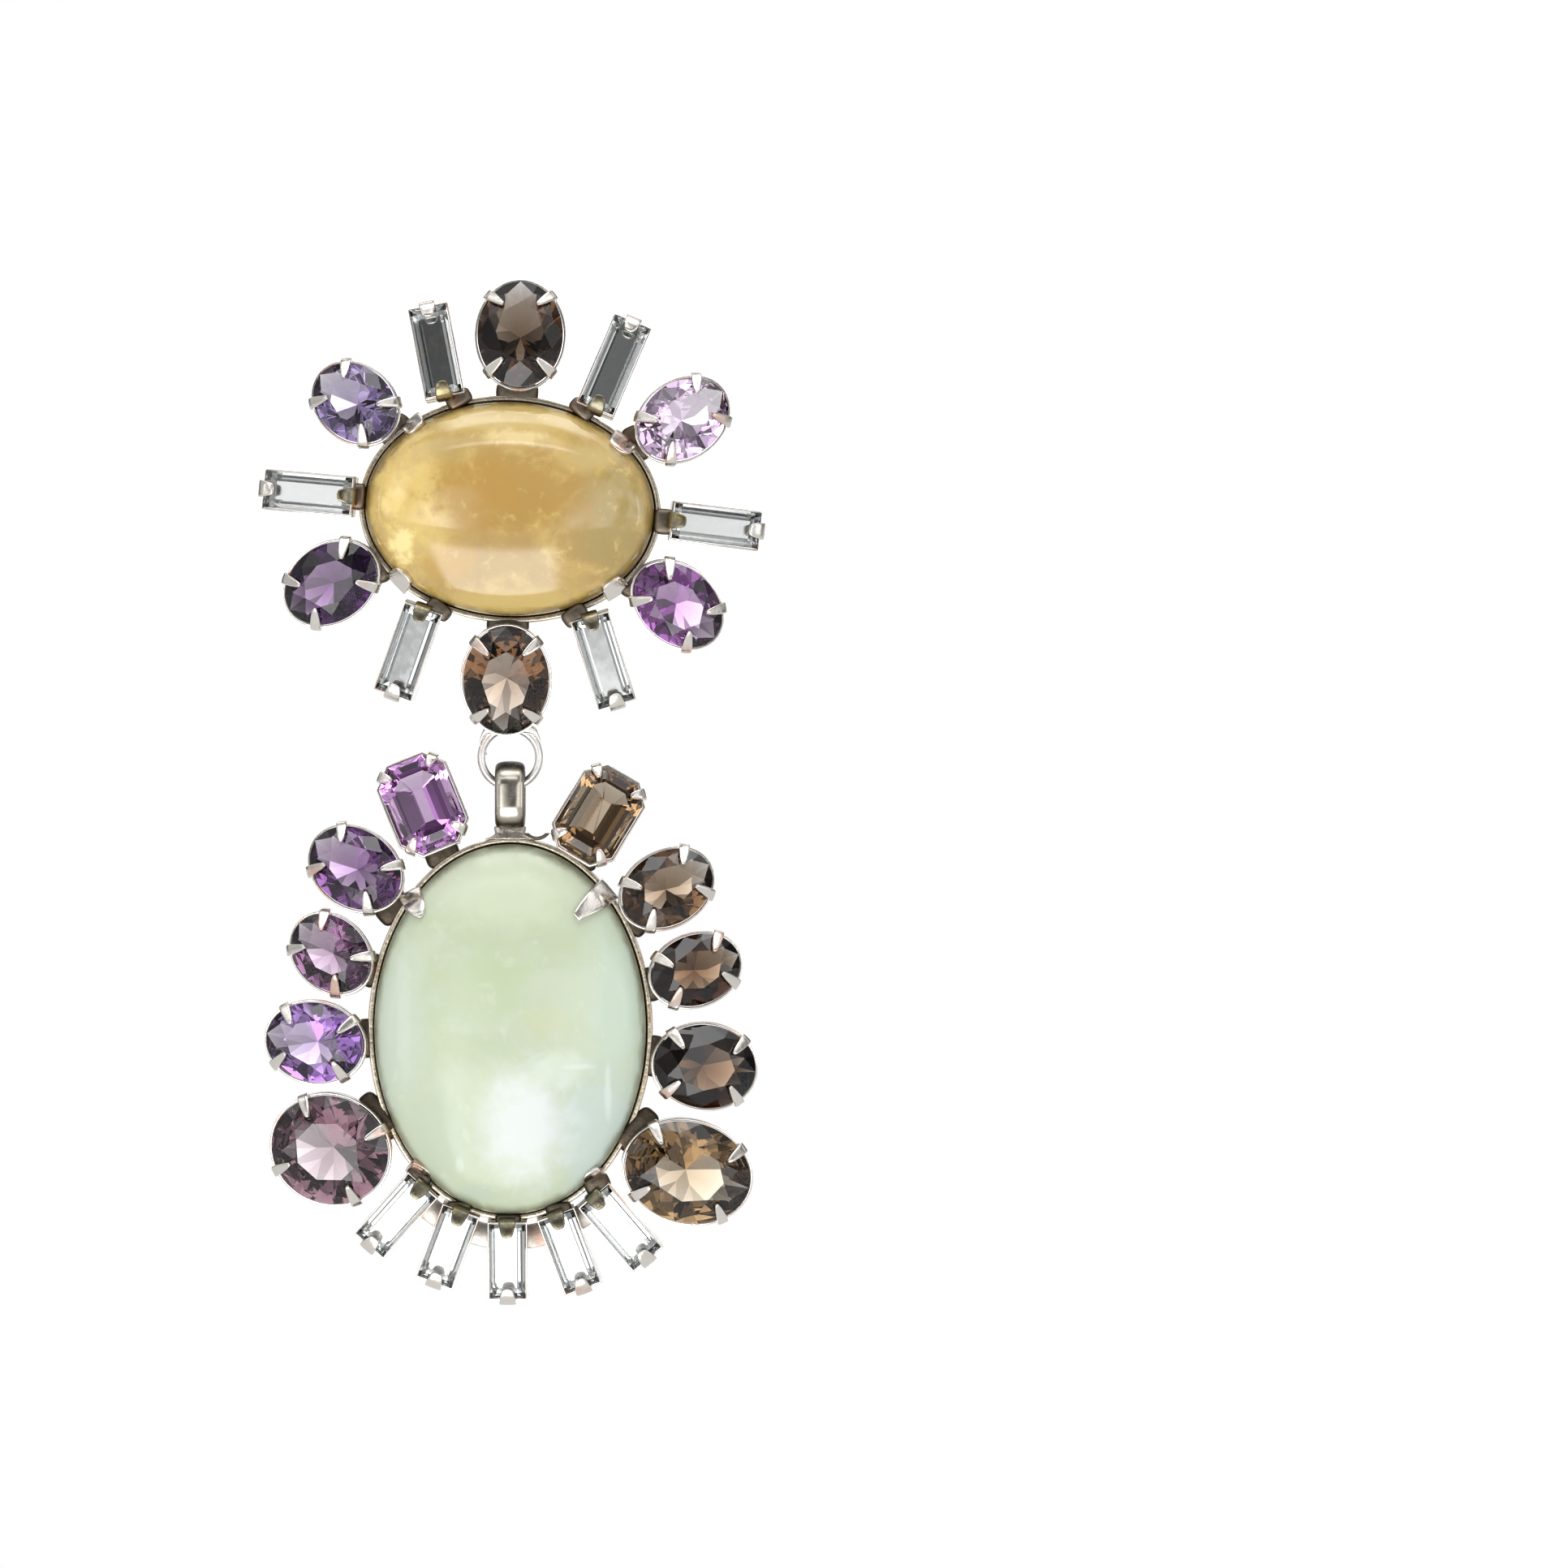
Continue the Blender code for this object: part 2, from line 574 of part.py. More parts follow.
class Cluster:
    """A cabochon in its bezel, with the frame that the stones round it stand in."""

    def __init__(self, centre, half_x, half_z, height, tilt, rays, claws):
        self.centre = centre
        self.half_x = half_x
        self.half_z = half_z
        self.height = height
        self.tilt = tilt
        self.rays = rays
        self.claws = claws

    def frame(self):
        """Return the cabochon's placement: x across, y up and z out of its front."""
        turn = Matrix.Rotation(math.radians(-self.tilt), 4, "Y")
        return Matrix.Translation(self.centre) @ turn @ Matrix.Rotation(math.pi / 2, 4, "X")

    def bezel_radius(self, clock):
        """Return the bezel's outer radius in a clock direction."""
        grow = SEAT_GAP + BEZEL_WALL
        return ellipse_radius(self.half_x + grow, self.half_z + grow, clock - self.tilt)

    def ray_distance(self, ray):
        """Return a stone's distance from the cabochon's centre, set by its gap to the bezel."""
        turn = math.radians(ray.turn)
        if ray.cut == "oval":
            reach = math.hypot(ray.length / 2 * math.cos(turn), ray.width / 2 * math.sin(turn))
        else:
            reach = ray.length / 2 / math.cos(turn)
        return self.bezel_radius(ray.clock) + ray.gap + reach

    def ray_placement(self, ray):
        """Return a stone's placement, leaning outwards by the rays' lean."""
        outward = clock_direction(ray.clock)
        spot = self.centre + outward * self.ray_distance(ray) + FRONT * RAY_HEIGHT
        lean = Matrix.Rotation(math.radians(RAY_LEAN), 3, FRONT.cross(outward))
        along = lean @ clock_direction(ray.clock + ray.turn)
        out = lean @ FRONT
        across = out.cross(along)
        turned = Matrix((along, across, out)).transposed().to_4x4()
        return Matrix.Translation(spot) @ turned

    def dome_height(self, inset):
        """Return the cabochon's height at an inset from its edge, on its short axis."""
        share = min(inset / min(self.half_x, self.half_z), 1.0)
        rise = self.height - BEZEL_HEIGHT - GIRDLE_RISE + BACK_PLATE
        return BEZEL_HEIGHT + GIRDLE_RISE + rise * math.sqrt(1.0 - (1.0 - share) ** 2)

    def cabochon(self, name):
        """Model the domed stone from its flat back to its crown."""
        bm = bmesh.new()
        base = BACK_PLATE + SEAT_GAP
        shoulder = BEZEL_HEIGHT + GIRDLE_RISE
        rise = self.height + BACK_PLATE - shoulder
        levels = [(CABOCHON_BASE_SHARE, base), (1.0, base + CABOCHON_BEVEL), (1.0, shoulder)]
        for index in range(1, CABOCHON_RINGS):
            angle = math.pi / 2 * index / CABOCHON_RINGS
            levels.append((math.cos(angle), shoulder + rise * math.sin(angle)))
        rings = [
            add_ring(bm, [(self.half_x * share * x, self.half_z * share * y, height)
                          for x, y in circle_points(CABOCHON_SIDES)])
            for share, height in levels
        ]
        for low, high in zip(rings, rings[1:]):
            skin(bm, low, high)
        bm.faces.new(rings[0])
        apex = bm.verts.new((0.0, 0.0, shoulder + rise))
        for here in range(CABOCHON_SIDES):
            bm.faces.new((rings[-1][here], rings[-1][(here + 1) % CABOCHON_SIDES], apex))
        return mesh_from(bm, name)

    def bezel(self, bm, open_back):
        """Build the bezel wall with its back plate, or with a ledge where the back is open."""
        outer = SEAT_GAP + BEZEL_WALL
        points = circle_points(CABOCHON_SIDES)

        def ring(offset, height):
            return [((self.half_x + offset) * x, (self.half_z + offset) * y, height) for x, y in points]

        wall = [ring(outer, 0.0), ring(outer, BEZEL_HEIGHT), ring(SEAT_GAP, BEZEL_HEIGHT),
                ring(SEAT_GAP, BACK_PLATE)]
        if open_back:
            hoop(bm, wall + [ring(-LEDGE_WIDTH, BACK_PLATE), ring(-LEDGE_WIDTH, 0.0)])
        else:
            loft(bm, wall)

    def cab_claw(self, bm, row):
        """Bend one broad claw from the bezel's wall over the cabochon's edge."""
        angle = math.radians(row.clock - self.tilt)
        normal = Vector((math.cos(angle) / self.half_x, math.sin(angle) / self.half_z, 0.0)).normalized()
        direction = Vector((math.cos(angle), math.sin(angle), 0.0))
        edge = direction * ellipse_radius(self.half_x, self.half_z, row.clock - self.tilt)
        half = CAB_CLAW_THICKNESS / 2
        stand = SEAT_GAP + BEZEL_WALL + half - SOLDER_BITE
        spots = [(stand, BEZEL_HEIGHT * 0.45), (stand, BEZEL_HEIGHT + CAB_CLAW_RISE)]
        for share in CAB_CLAW_BENDS:
            inset = share * row.reach
            slope = self.dome_slope(inset)
            spots.append((-inset, self.dome_height(inset) + (SEAT_GAP + half) * math.hypot(1.0, slope)))
        path = [edge + normal * offset + Vector((0.0, 0.0, height)) for offset, height in spots]
        side = Vector((0.0, 0.0, 1.0)).cross(normal)
        widths = [row.width, row.width, row.width, 0.9 * row.width, 0.5 * row.width]
        bar(bm, path, side, widths, [CAB_CLAW_THICKNESS] * len(path))

    def dome_slope(self, inset):
        """Return the dome's slope at an inset from its edge."""
        half = min(self.half_x, self.half_z)
        from_axis = 1.0 - min(inset / half, 1.0)
        rise = self.height - BEZEL_HEIGHT - GIRDLE_RISE + BACK_PLATE
        return rise / half * from_axis / math.sqrt(1.0 - from_axis ** 2)

    def solder(self, bm, ray):
        """Join a setting to the bezel with a bar from the wall to the setting's foot."""
        to_cluster = self.frame().inverted()
        placement = to_cluster @ self.ray_placement(ray)
        turn = math.radians(ray.turn)
        inward = Vector((-math.cos(turn), math.sin(turn), 0.0))
        if ray.cut == "baguette":
            reach = ray.length / 2 + SEAT_GAP + TROUGH_WALL / 2
            depth = (TROUGH_DEPTH + GIRDLE_THICKNESS) / 2
            height = TROUGH_DEPTH / 2
        else:
            reach = ellipse_radius(ray.length / 2, ray.width / 2, ray.turn) - GALLERY_INSET
            depth = GALLERY_DEPTH - GALLERY_WIRE / 2
            height = 1.5 * GALLERY_WIRE + RIM_HEIGHT / 2
        inner = placement @ (inward * reach + Vector((0.0, 0.0, -depth)))
        angle = math.radians(ray.clock - self.tilt)
        outward = Vector((math.cos(angle), math.sin(angle), 0.0))
        wall = outward * (self.bezel_radius(ray.clock) - BEZEL_WALL / 2)
        start = Vector((wall.x, wall.y, inner.z))
        normal = Vector((wall.x / self.half_x ** 2, wall.y / self.half_z ** 2, 0.0)).normalized()
        side = Vector((0.0, 0.0, 1.0)).cross(normal)
        width = SOLDER_SHARE * ray.width
        bar(bm, [start, inner], side, [width, width], [height, height])

    def metal(self, open_back):
        """Build the loose metal pieces of the frame, before they are soldered."""
        bm = bmesh.new()
        self.bezel(bm, open_back)
        for row in self.claws:
            self.cab_claw(bm, row)
        to_cluster = self.frame().inverted()
        for ray in self.rays:
            setting = bmesh.new()
            if ray.cut == "baguette":
                trough(setting, ray)
            else:
                basket(setting, ray)
            setting.transform(to_cluster @ self.ray_placement(ray))
            merge(bm, setting)
            self.solder(bm, ray)
        return bm


def solder_together(item, placement, spot, size):
    """Union a frame's loose pieces into one solid.

    A small block inside the metal, at a spot in the frame's own placement, is the second piece
    that the union asks for.
    """
    bm = bmesh.new()
    bmesh.ops.create_cube(bm, size=size)
    bmesh.ops.translate(bm, verts=bm.verts, vec=spot)
    name = item.name + "_blank"
    blank = place(name, mesh_from(bm, name), placement, item.parent, silver())
    blank.hide_render = True
    blank.display_type = "WIRE"
    joined = item.modifiers.new("solder", "BOOLEAN")
    joined.operation = "UNION"
    joined.solver = "EXACT"
    joined.use_self = True
    joined.object = blank


def hanging_ring(bm, centre):
    """Build the hanging ring's wire, standing in the front plane."""
    sections = []
    for x, y in circle_points(RING_SIDES):
        outward = Vector((x, y, 0.0))
        sections.append([
            centre + outward * (RING_RADIUS + RING_WIRE * wire_x) + Vector((0.0, 0.0, RING_WIRE * wire_y))
            for wire_x, wire_y in circle_points(WIRE_SIDES)
        ])
    hoop(bm, sections)


def bail_sections(hinge):
    """Return the bail's closed loop as sections round the hinge's axis, in the front view's frame."""
    rise = RING_RADIUS - math.sqrt(RING_RADIUS ** 2 - (BAIL_WIDTH / 2) ** 2)
    inner = BAIL_CLEARANCE + math.hypot(RING_WIRE, rise + RING_WIRE)
    outer = inner + BAIL_THICKNESS
    low = -(BAIL_LENGTH - BAIL_FOOT)
    arc = [math.pi * step / BAIL_BENDS for step in range(BAIL_BENDS + 1)]
    loop_inner = [(inner * math.cos(angle), inner * math.sin(angle)) for angle in arc]
    loop_outer = [(outer * math.cos(angle), outer * math.sin(angle)) for angle in arc]
    loop_inner += [(-inner, low), (inner, low)]
    loop_outer += [(-outer, low - BAIL_THICKNESS), (outer, low - BAIL_THICKNESS)]
    half = BAIL_WIDTH / 2
    sections = []
    for (in_depth, in_rise), (out_depth, out_rise) in zip(loop_inner, loop_outer):
        sections.append([
            hinge + Vector((-half, in_rise, in_depth)),
            hinge + Vector((half, in_rise, in_depth)),
            hinge + Vector((half, out_rise, out_depth)),
            hinge + Vector((-half, out_rise, out_depth)),
        ])
    return sections


def ear_post():
    """Turn the pad and pin of the ear post about the pin's axis."""
    profile = [
        (PAD_RADIUS * 0.93, -PAD_THICKNESS),
        (PAD_RADIUS, -PAD_THICKNESS * 0.85),
        (PAD_RADIUS, -PAD_THICKNESS * 0.15),
        (PAD_RADIUS * 0.93, 0.0),
        (PIN_RADIUS, 0.0),
        (PIN_RADIUS, PIN_LENGTH * 0.72),
        (PIN_RADIUS - PIN_GROOVE, PIN_LENGTH * 0.75),
        (PIN_RADIUS, PIN_LENGTH * 0.78),
        (PIN_RADIUS, PIN_LENGTH * 0.95),
        (PIN_RADIUS * 0.45, PIN_LENGTH),
    ]
    bm = bmesh.new()
    loft(bm, [[(radius * x, radius * y, height) for x, y in circle_points(POST_SIDES)]
              for radius, height in profile])
    return mesh_from(bm, "ear_post")


def build_stones(cluster, parent):
    """Cut and place the stones round a cabochon."""
    for ray in cluster.rays:
        mesh = brilliant(ray) if ray.cut == "oval" else step_cut(ray)
        place(ray.name, mesh, cluster.ray_placement(ray), parent, gem(ray.gem))


def ring_centre(cluster):
    """Return the hanging ring's centre, under the lowest stone of the ear cluster."""
    ray = next(row for row in cluster.rays if row.name == HANGING_RAY)
    tip = cluster.ray_placement(ray) @ Vector((ray.length / 2 + SEAT_GAP + RIM_WALL, 0.0, 0.0))
    back = cluster.centre.y - RING_FRONT
    return Vector((0.0, back, tip.z + RING_OVERLAP - RING_RADIUS))


def shoulder_path(cluster, upright, ring):
    """Return the path of the solder shoulder from the ring's top to the stone's rim."""
    ray = next(row for row in cluster.rays if row.name == HANGING_RAY)
    rim = cluster.ray_placement(ray) @ Vector((ray.length / 2, 0.0, -GIRDLE_THICKNESS - RIM_HEIGHT / 2))
    top = ring + Vector((0.0, RING_RADIUS, 0.0))
    end = upright.inverted() @ rim
    return [top, Vector((top.x, end.y, end.z))]


def build_ear_cluster(parent):
    """Build the ear cluster and return where the drop hangs."""
    plate_back = -(PAD_THICKNESS + SEAT_GAP)
    centre = Vector((0.0, plate_back, -POST_RAISE))
    cluster = Cluster(centre, CITRINE_LENGTH / 2, CITRINE_WIDTH / 2, CITRINE_HEIGHT, CITRINE_TILT,
                      CLUSTER_RAYS, CITRINE_CLAWS)
    metal = cluster.metal(open_back=False)
    to_cluster = cluster.frame().inverted()
    ring = ring_centre(cluster)
    upright = Matrix.Translation(centre) @ Matrix.Rotation(math.pi / 2, 4, "X")
    flat = bmesh.new()
    local_ring = upright.inverted() @ ring
    hanging_ring(flat, local_ring)
    shoulder = shoulder_path(cluster, upright, local_ring)
    bar(flat, shoulder, RIGHT, [RING_SHOULDER_WIDTH] * 2, [RING_SHOULDER_DEPTH] * 2)
    flat.transform(to_cluster @ upright)
    merge(metal, flat)
    item = place("cluster_frame", mesh_from(metal, "cluster_frame"), cluster.frame(), parent, silver())
    solder_together(item, cluster.frame(), Vector((0.0, 0.0, BACK_PLATE / 2)), BACK_PLATE / 2)
    place("citrine_cabochon", cluster.cabochon("citrine_cabochon"), cluster.frame(), parent, gem("citrine"))
    build_stones(cluster, parent)
    lying = Matrix.Rotation(-math.pi / 2, 4, "X")
    place("ear_post", ear_post(), lying, parent, silver())
    return ring - UP * RING_RADIUS


def fan_backing(cluster):
    """Build the curved strip that backs the fan of baguettes."""
    rows = {ray.name: ray for ray in cluster.rays}
    first, last = (rows[name].clock for name in FAN_NAMES)
    sections = []
    for index in range(FAN_BACKING_BENDS + 1):
        clock = first + (last - first) * index / FAN_BACKING_BENDS
        radius = cluster.bezel_radius(clock) + FAN_BACKING_OUT
        angle = math.radians(clock)
        outward = Vector((math.cos(angle), math.sin(angle), 0.0))
        middle = outward * radius + Vector((0.0, 0.0, RAY_HEIGHT - TROUGH_DEPTH - FAN_BACKING_THICKNESS / 3))
        half_out = outward * FAN_BACKING_WIDTH / 2
        half_up = Vector((0.0, 0.0, FAN_BACKING_THICKNESS / 2))
        sections.append([middle - half_out - half_up, middle + half_out - half_up,
                         middle + half_out + half_up, middle - half_out + half_up])
    bm = bmesh.new()
    loft(bm, sections)
    return bm


def bail(cluster, hinge):
    """Build the bail's loop and the foot that stands on the bezel."""
    local = cluster.frame().inverted() @ hinge
    bm = bmesh.new()
    hoop(bm, bail_sections(local))
    top = local + Vector((0.0, -(BAIL_LENGTH - BAIL_FOOT + BAIL_THICKNESS / 2), 0.0))
    foot = Vector((local.x, cluster.bezel_radius(90.0) - BEZEL_WALL / 2, local.z))
    bar(bm, [top, foot], RIGHT, [BAIL_NECK_WIDTH, BAIL_FOOT_WIDTH], [BAIL_FOOT_DEPTH] * 2)
    return bm


def build_drop(parent, hinge):
    """Build the drop under its hinge."""
    half_z = GREEN_LENGTH / 2
    grow = SEAT_GAP + BEZEL_WALL
    centre = hinge - UP * (BAIL_LENGTH + half_z + grow)
    centre.y = DROP_SET_BACK - (PAD_THICKNESS + SEAT_GAP)
    cluster = Cluster(centre, GREEN_WIDTH / 2, half_z, GREEN_HEIGHT, 0.0, DROP_RAYS, GREEN_CLAWS)
    metal = cluster.metal(open_back=True)
    merge(metal, fan_backing(cluster))
    merge(metal, bail(cluster, hinge))
    item = place("drop_frame", mesh_from(metal, "drop_frame"), cluster.frame(), parent, silver())
    in_wall = Vector((-(GREEN_WIDTH / 2 + SEAT_GAP + BEZEL_WALL / 2), 0.0, BACK_PLATE / 2))
    solder_together(item, cluster.frame(), in_wall, BEZEL_WALL / 2)
    place("green_cabochon", cluster.cabochon("green_cabochon"), cluster.frame(), parent, gem("green"))
    build_stones(cluster, parent)


def main():
    """Build the whole earring."""
    clear_scene()
    ear = pivot("ear_pivot", Vector((0.0, 0.0, 0.0)))
    hinge = build_ear_cluster(ear)
    swing = pivot("drop_hinge", hinge)
    build_drop(swing, hinge)


main()
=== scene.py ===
"""The finished look of a drop earring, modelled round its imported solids.

A cloudy golden cabochon on an ear post carries twelve faceted stones round it, and a milky green
cabochon with fifteen more hangs under it on a ring. Each sub-assembly is a class below. Stones
and settings are modelled in millimetres in their own axes, x along, y across and z out of the
front, with the girdle at z = 0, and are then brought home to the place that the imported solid
gives. The front of the earring faces -Y.
"""

from __future__ import annotations

import json
import logging
import math
from collections.abc import Callable, Iterator
from contextlib import contextmanager
from dataclasses import dataclass, field
from enum import Enum

import bmesh
import bpy
import numpy as np
from mathutils import Matrix, Vector

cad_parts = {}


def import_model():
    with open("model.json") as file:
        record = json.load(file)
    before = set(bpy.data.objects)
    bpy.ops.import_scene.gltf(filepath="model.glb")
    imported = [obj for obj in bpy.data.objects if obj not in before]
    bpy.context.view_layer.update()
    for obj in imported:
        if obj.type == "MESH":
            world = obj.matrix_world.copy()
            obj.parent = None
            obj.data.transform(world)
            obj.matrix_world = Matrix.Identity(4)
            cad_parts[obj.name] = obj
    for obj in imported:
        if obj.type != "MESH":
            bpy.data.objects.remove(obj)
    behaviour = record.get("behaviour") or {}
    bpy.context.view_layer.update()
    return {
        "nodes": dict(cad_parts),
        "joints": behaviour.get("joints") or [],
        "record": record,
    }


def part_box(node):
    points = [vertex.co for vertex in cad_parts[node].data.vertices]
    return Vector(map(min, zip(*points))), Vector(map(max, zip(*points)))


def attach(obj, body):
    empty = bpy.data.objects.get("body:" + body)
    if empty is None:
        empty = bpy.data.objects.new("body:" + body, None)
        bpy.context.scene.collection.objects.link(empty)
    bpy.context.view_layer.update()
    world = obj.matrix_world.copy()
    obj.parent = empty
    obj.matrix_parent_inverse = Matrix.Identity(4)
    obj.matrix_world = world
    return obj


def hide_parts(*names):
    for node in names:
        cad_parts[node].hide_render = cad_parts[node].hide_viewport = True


LOG = logging.getLogger("earring")

MILLIMETRE = 0.001
FRONT = Vector((0.0, -1.0, 0.0))
RIGHT = Vector((1.0, 0.0, 0.0))
UP = Vector((0.0, 0.0, 1.0))
# The least cosine at which a face or an edge counts as lying along an axis
ALONG_AXIS = 0.95

Colour = tuple[float, float, float]


def tone(red: int, green: int, blue: int) -> Colour:
    """Turn a colour as the eye mixes it, in 0 to 255, into the light that it stands for."""
    return tuple(
        (part / 255 / 12.92) if part <= 10 else ((part / 255 + 0.055) / 1.055) ** 2.4
        for part in (red, green, blue)
    )


def axes(along: Vector, across: Vector, out: Vector, origin: Vector) -> Matrix:
    """Place a piece's own axes.

    Args:
        along: Where its x points.
        across: Where its y points.
        out: Where its z points.
        origin: Where they meet.

    Returns:
        The placement.
    """
    return Matrix.Translation(origin) @ Matrix((along, across, out)).transposed().to_4x4()


class Cut(Enum):
    """How a faceted stone is cut."""

    OVAL = "oval"
    OCTAGON = "octagon"
    BAGUETTE = "baguette"


class Body(Enum):
    """The two bodies of the earring that the hanging ring joins."""

    CLUSTER = "cluster"
    DROP = "drop"


# Bench


class Bench:
    """Modelling steps on one active piece, as a maker takes them at the bench."""

    @staticmethod
    def take(*pieces: bpy.types.Object) -> None:
        """Select only these pieces and make the first one active."""
        bpy.ops.object.select_all(action="DESELECT")
        for piece in pieces:
            piece.select_set(True)
        bpy.context.view_layer.objects.active = pieces[0]

    @staticmethod
    @contextmanager
    def edit(piece: bpy.types.Object) -> Iterator[None]:
        """Hold a piece open in edit mode, with faces as what is selected.

        Args:
            piece: The piece to open.
        """
        Bench.take(piece)
        bpy.ops.object.mode_set(mode="EDIT")
        bpy.ops.mesh.select_mode(type="FACE")
        yield
        bpy.ops.object.mode_set(mode="OBJECT")

    @staticmethod
    def pick(test: Callable[[bmesh.types.BMFace], bool]) -> None:
        """Select the open piece's faces that pass a test.

        Args:
            test: What a face has to be, by its place or normal.
        """
        bpy.ops.mesh.select_mode(type="FACE")
        bpy.ops.mesh.select_all(action="DESELECT")
        mesh = bpy.context.object.data
        shape = bmesh.from_edit_mesh(mesh)
        for face in shape.faces:
            face.select_set(test(face))
        bmesh.update_edit_mesh(mesh)

    @staticmethod
    def pick_edges(test: Callable[[bmesh.types.BMEdge], bool]) -> None:
        """Select the open piece's edges that pass a test.

        Args:
            test: What an edge has to be, by its place or direction.
        """
        bpy.ops.mesh.select_mode(type="EDGE")
        bpy.ops.mesh.select_all(action="DESELECT")
        mesh = bpy.context.object.data
        shape = bmesh.from_edit_mesh(mesh)
        for edge in shape.edges:
            edge.select_set(test(edge))
        bmesh.update_edit_mesh(mesh)

    @staticmethod
    def runs_along(edge: bmesh.types.BMEdge, axis: int) -> bool:
        """Whether an edge lies along one of the axes, 0 to 2."""
        return abs((edge.verts[0].co - edge.verts[1].co).normalized()[axis]) > ALONG_AXIS

    @staticmethod
    def start(name: str, add: Callable[..., object], **sizes: object) -> bpy.types.Object:
        """Add a primitive, with nothing else selected.

        Args:
            name: The piece's name.
            add: The primitive's operator.
            sizes: The operator's own sizes.

        Returns:
            The primitive.
        """
        bpy.ops.object.select_all(action="DESELECT")
        add(**sizes)
        piece = bpy.context.object
        piece.name = name
        return piece

    @staticmethod
    def apply(piece: bpy.types.Object, kind: str, **settings: object) -> None:
        """Give a piece a modifier and apply it.

        Args:
            piece: The piece.
            kind: The modifier's type.
            settings: The modifier's own settings.
        """
        Bench.take(piece)
        modifier = piece.modifiers.new(kind, kind)
        for name, value in settings.items():
            setattr(modifier, name, value)
        bpy.ops.object.modifier_apply(modifier=modifier.name)

    @staticmethod
    def block(name: str, size: Vector, centre: Vector | None = None) -> bpy.types.Object:
        """Add a rectangular blank.

        Args:
            name: The piece's name.
            size: Its full sizes along x, y and z.
            centre: Its middle, or the origin.

        Returns:
            The blank.
        """
        piece = Bench.start(name, bpy.ops.mesh.primitive_cube_add, size=1.0, location=(0.0, 0.0, 0.0))
        with Bench.edit(piece):
            bpy.ops.mesh.select_all(action="SELECT")
            bpy.ops.transform.resize(value=size, center_override=(0.0, 0.0, 0.0))
            bpy.ops.transform.translate(value=centre or Vector())
        return piece

    @staticmethod
    def disc(
        name: str, half_x: float, half_y: float, low: float, high: float, sides: int
    ) -> bpy.types.Object:
        """Add an oval blank, standing between two heights.

        Args:
            name: The piece's name.
            half_x: Half its length.
            half_y: Half its width.
            low: The height of its back.
            high: The height of its front.
            sides: How many sides its outline has.

        Returns:
            The blank.
        """
        piece = Bench.start(
            name, bpy.ops.mesh.primitive_cylinder_add, vertices=sides, radius=1.0, depth=1.0
        )
        with Bench.edit(piece):
            bpy.ops.mesh.select_all(action="SELECT")
            bpy.ops.transform.resize(value=(half_x, half_y, high - low), center_override=(0.0, 0.0, 0.0))
            bpy.ops.transform.translate(value=(0.0, 0.0, (high + low) / 2))
        return piece

    @staticmethod
    def blank(
        cut: Cut, name: str, half_x: float, half_y: float, low: float, high: float, corner: float = 0.0
    ) -> bpy.types.Object:
        """Add a blank with a stone's outline.

        Args:
            cut: The outline's cut.
            name: The piece's name.
            half_x: Half its length.
            half_y: Half its width.
            low: The height of its back.
            high: The height of its front.
            corner: An octagon's corner cut, measured along its sides.

        Returns:
            The blank.
        """
        if cut is Cut.OVAL:
            return Bench.disc(name, half_x, half_y, low, high, 64)
        size = Vector((2.0 * half_x, 2.0 * half_y, high - low))
        piece = Bench.block(name, size, Vector((0.0, 0.0, (high + low) / 2)))
        if cut is Cut.OCTAGON:
            with Bench.edit(piece):
                Bench.pick_edges(lambda edge: Bench.runs_along(edge, 2))
                bpy.ops.mesh.bevel(offset=corner, segments=1, affect="EDGES")
        return piece

    @staticmethod
    def hollow(piece: bpy.types.Object, wall: float, axis: int = 2) -> None:
        """Open a blank from end to end, leaving a wall.

        Args:
            piece: The blank.
            wall: The wall's thickness.
            axis: The axis that the opening runs along.
        """
        with Bench.edit(piece):
            Bench.pick(lambda face: abs(face.normal[axis]) > ALONG_AXIS)
            bpy.ops.mesh.inset(thickness=wall, depth=0.0, use_even_offset=True)
            bpy.ops.mesh.bridge_edge_loops()

    @staticmethod
    def finish(piece: bpy.types.Object, width: float, segments: int = 2, smooth: float = 35.0) -> None:
        """Break a piece's edges and shade it.

        Args:
            piece: The piece.
            width: The bevel's width, or 0 for none.
            segments: The bevel's steps.
            smooth: The angle up to which faces are shaded as one, in degrees.
        """
        if width > 0.0:
            Bench.apply(
                piece, "BEVEL", width=width, segments=segments, limit_method="ANGLE",
                angle_limit=math.radians(28.0),
            )
        Bench.take(piece)
        bpy.ops.object.shade_smooth_by_angle(angle=math.radians(smooth))

    @staticmethod
    def soften(piece: bpy.types.Object, levels: int) -> None:
        """Round a piece by subdivision.

        Args:
            piece: The piece.
            levels: How many times it is subdivided.
        """
        Bench.apply(piece, "SUBSURF", levels=levels, render_levels=levels)
        bpy.ops.object.shade_smooth()

    @staticmethod
    def copy(piece: bpy.types.Object, name: str, place: Matrix) -> bpy.types.Object:
        """Copy a piece with its own mesh, at another place.

        Args:
            piece: The piece to copy.
            name: The copy's name.
            place: Where the copy goes, from the piece's axes.

        Returns:
            The copy.
        """
        twin = bpy.data.objects.new(name, piece.data.copy())
        bpy.context.scene.collection.objects.link(twin)
        twin.data.transform(place)
        return twin

    @staticmethod
    def join(name: str, pieces: list[bpy.types.Object]) -> bpy.types.Object:
        """Join pieces into one object.

        Args:
            name: The joined piece's name.
            pieces: What is joined.

        Returns:
            The joined piece.
        """
        Bench.take(*pieces)
        if len(pieces) > 1:
            bpy.ops.object.join()
        pieces[0].name = name
        pieces[0].data.name = name
        return pieces[0]

    @staticmethod
    def home(piece: bpy.types.Object, place: Matrix) -> bpy.types.Object:
        """Bring a piece modelled in millimetres to its place in the earring.

        Args:
            piece: The piece, in millimetres in its own axes.
            place: The place of those axes, in metres.

        Returns:
            The piece.
        """
        piece.data.transform(place @ Matrix.Scale(MILLIMETRE, 4))
        return piece

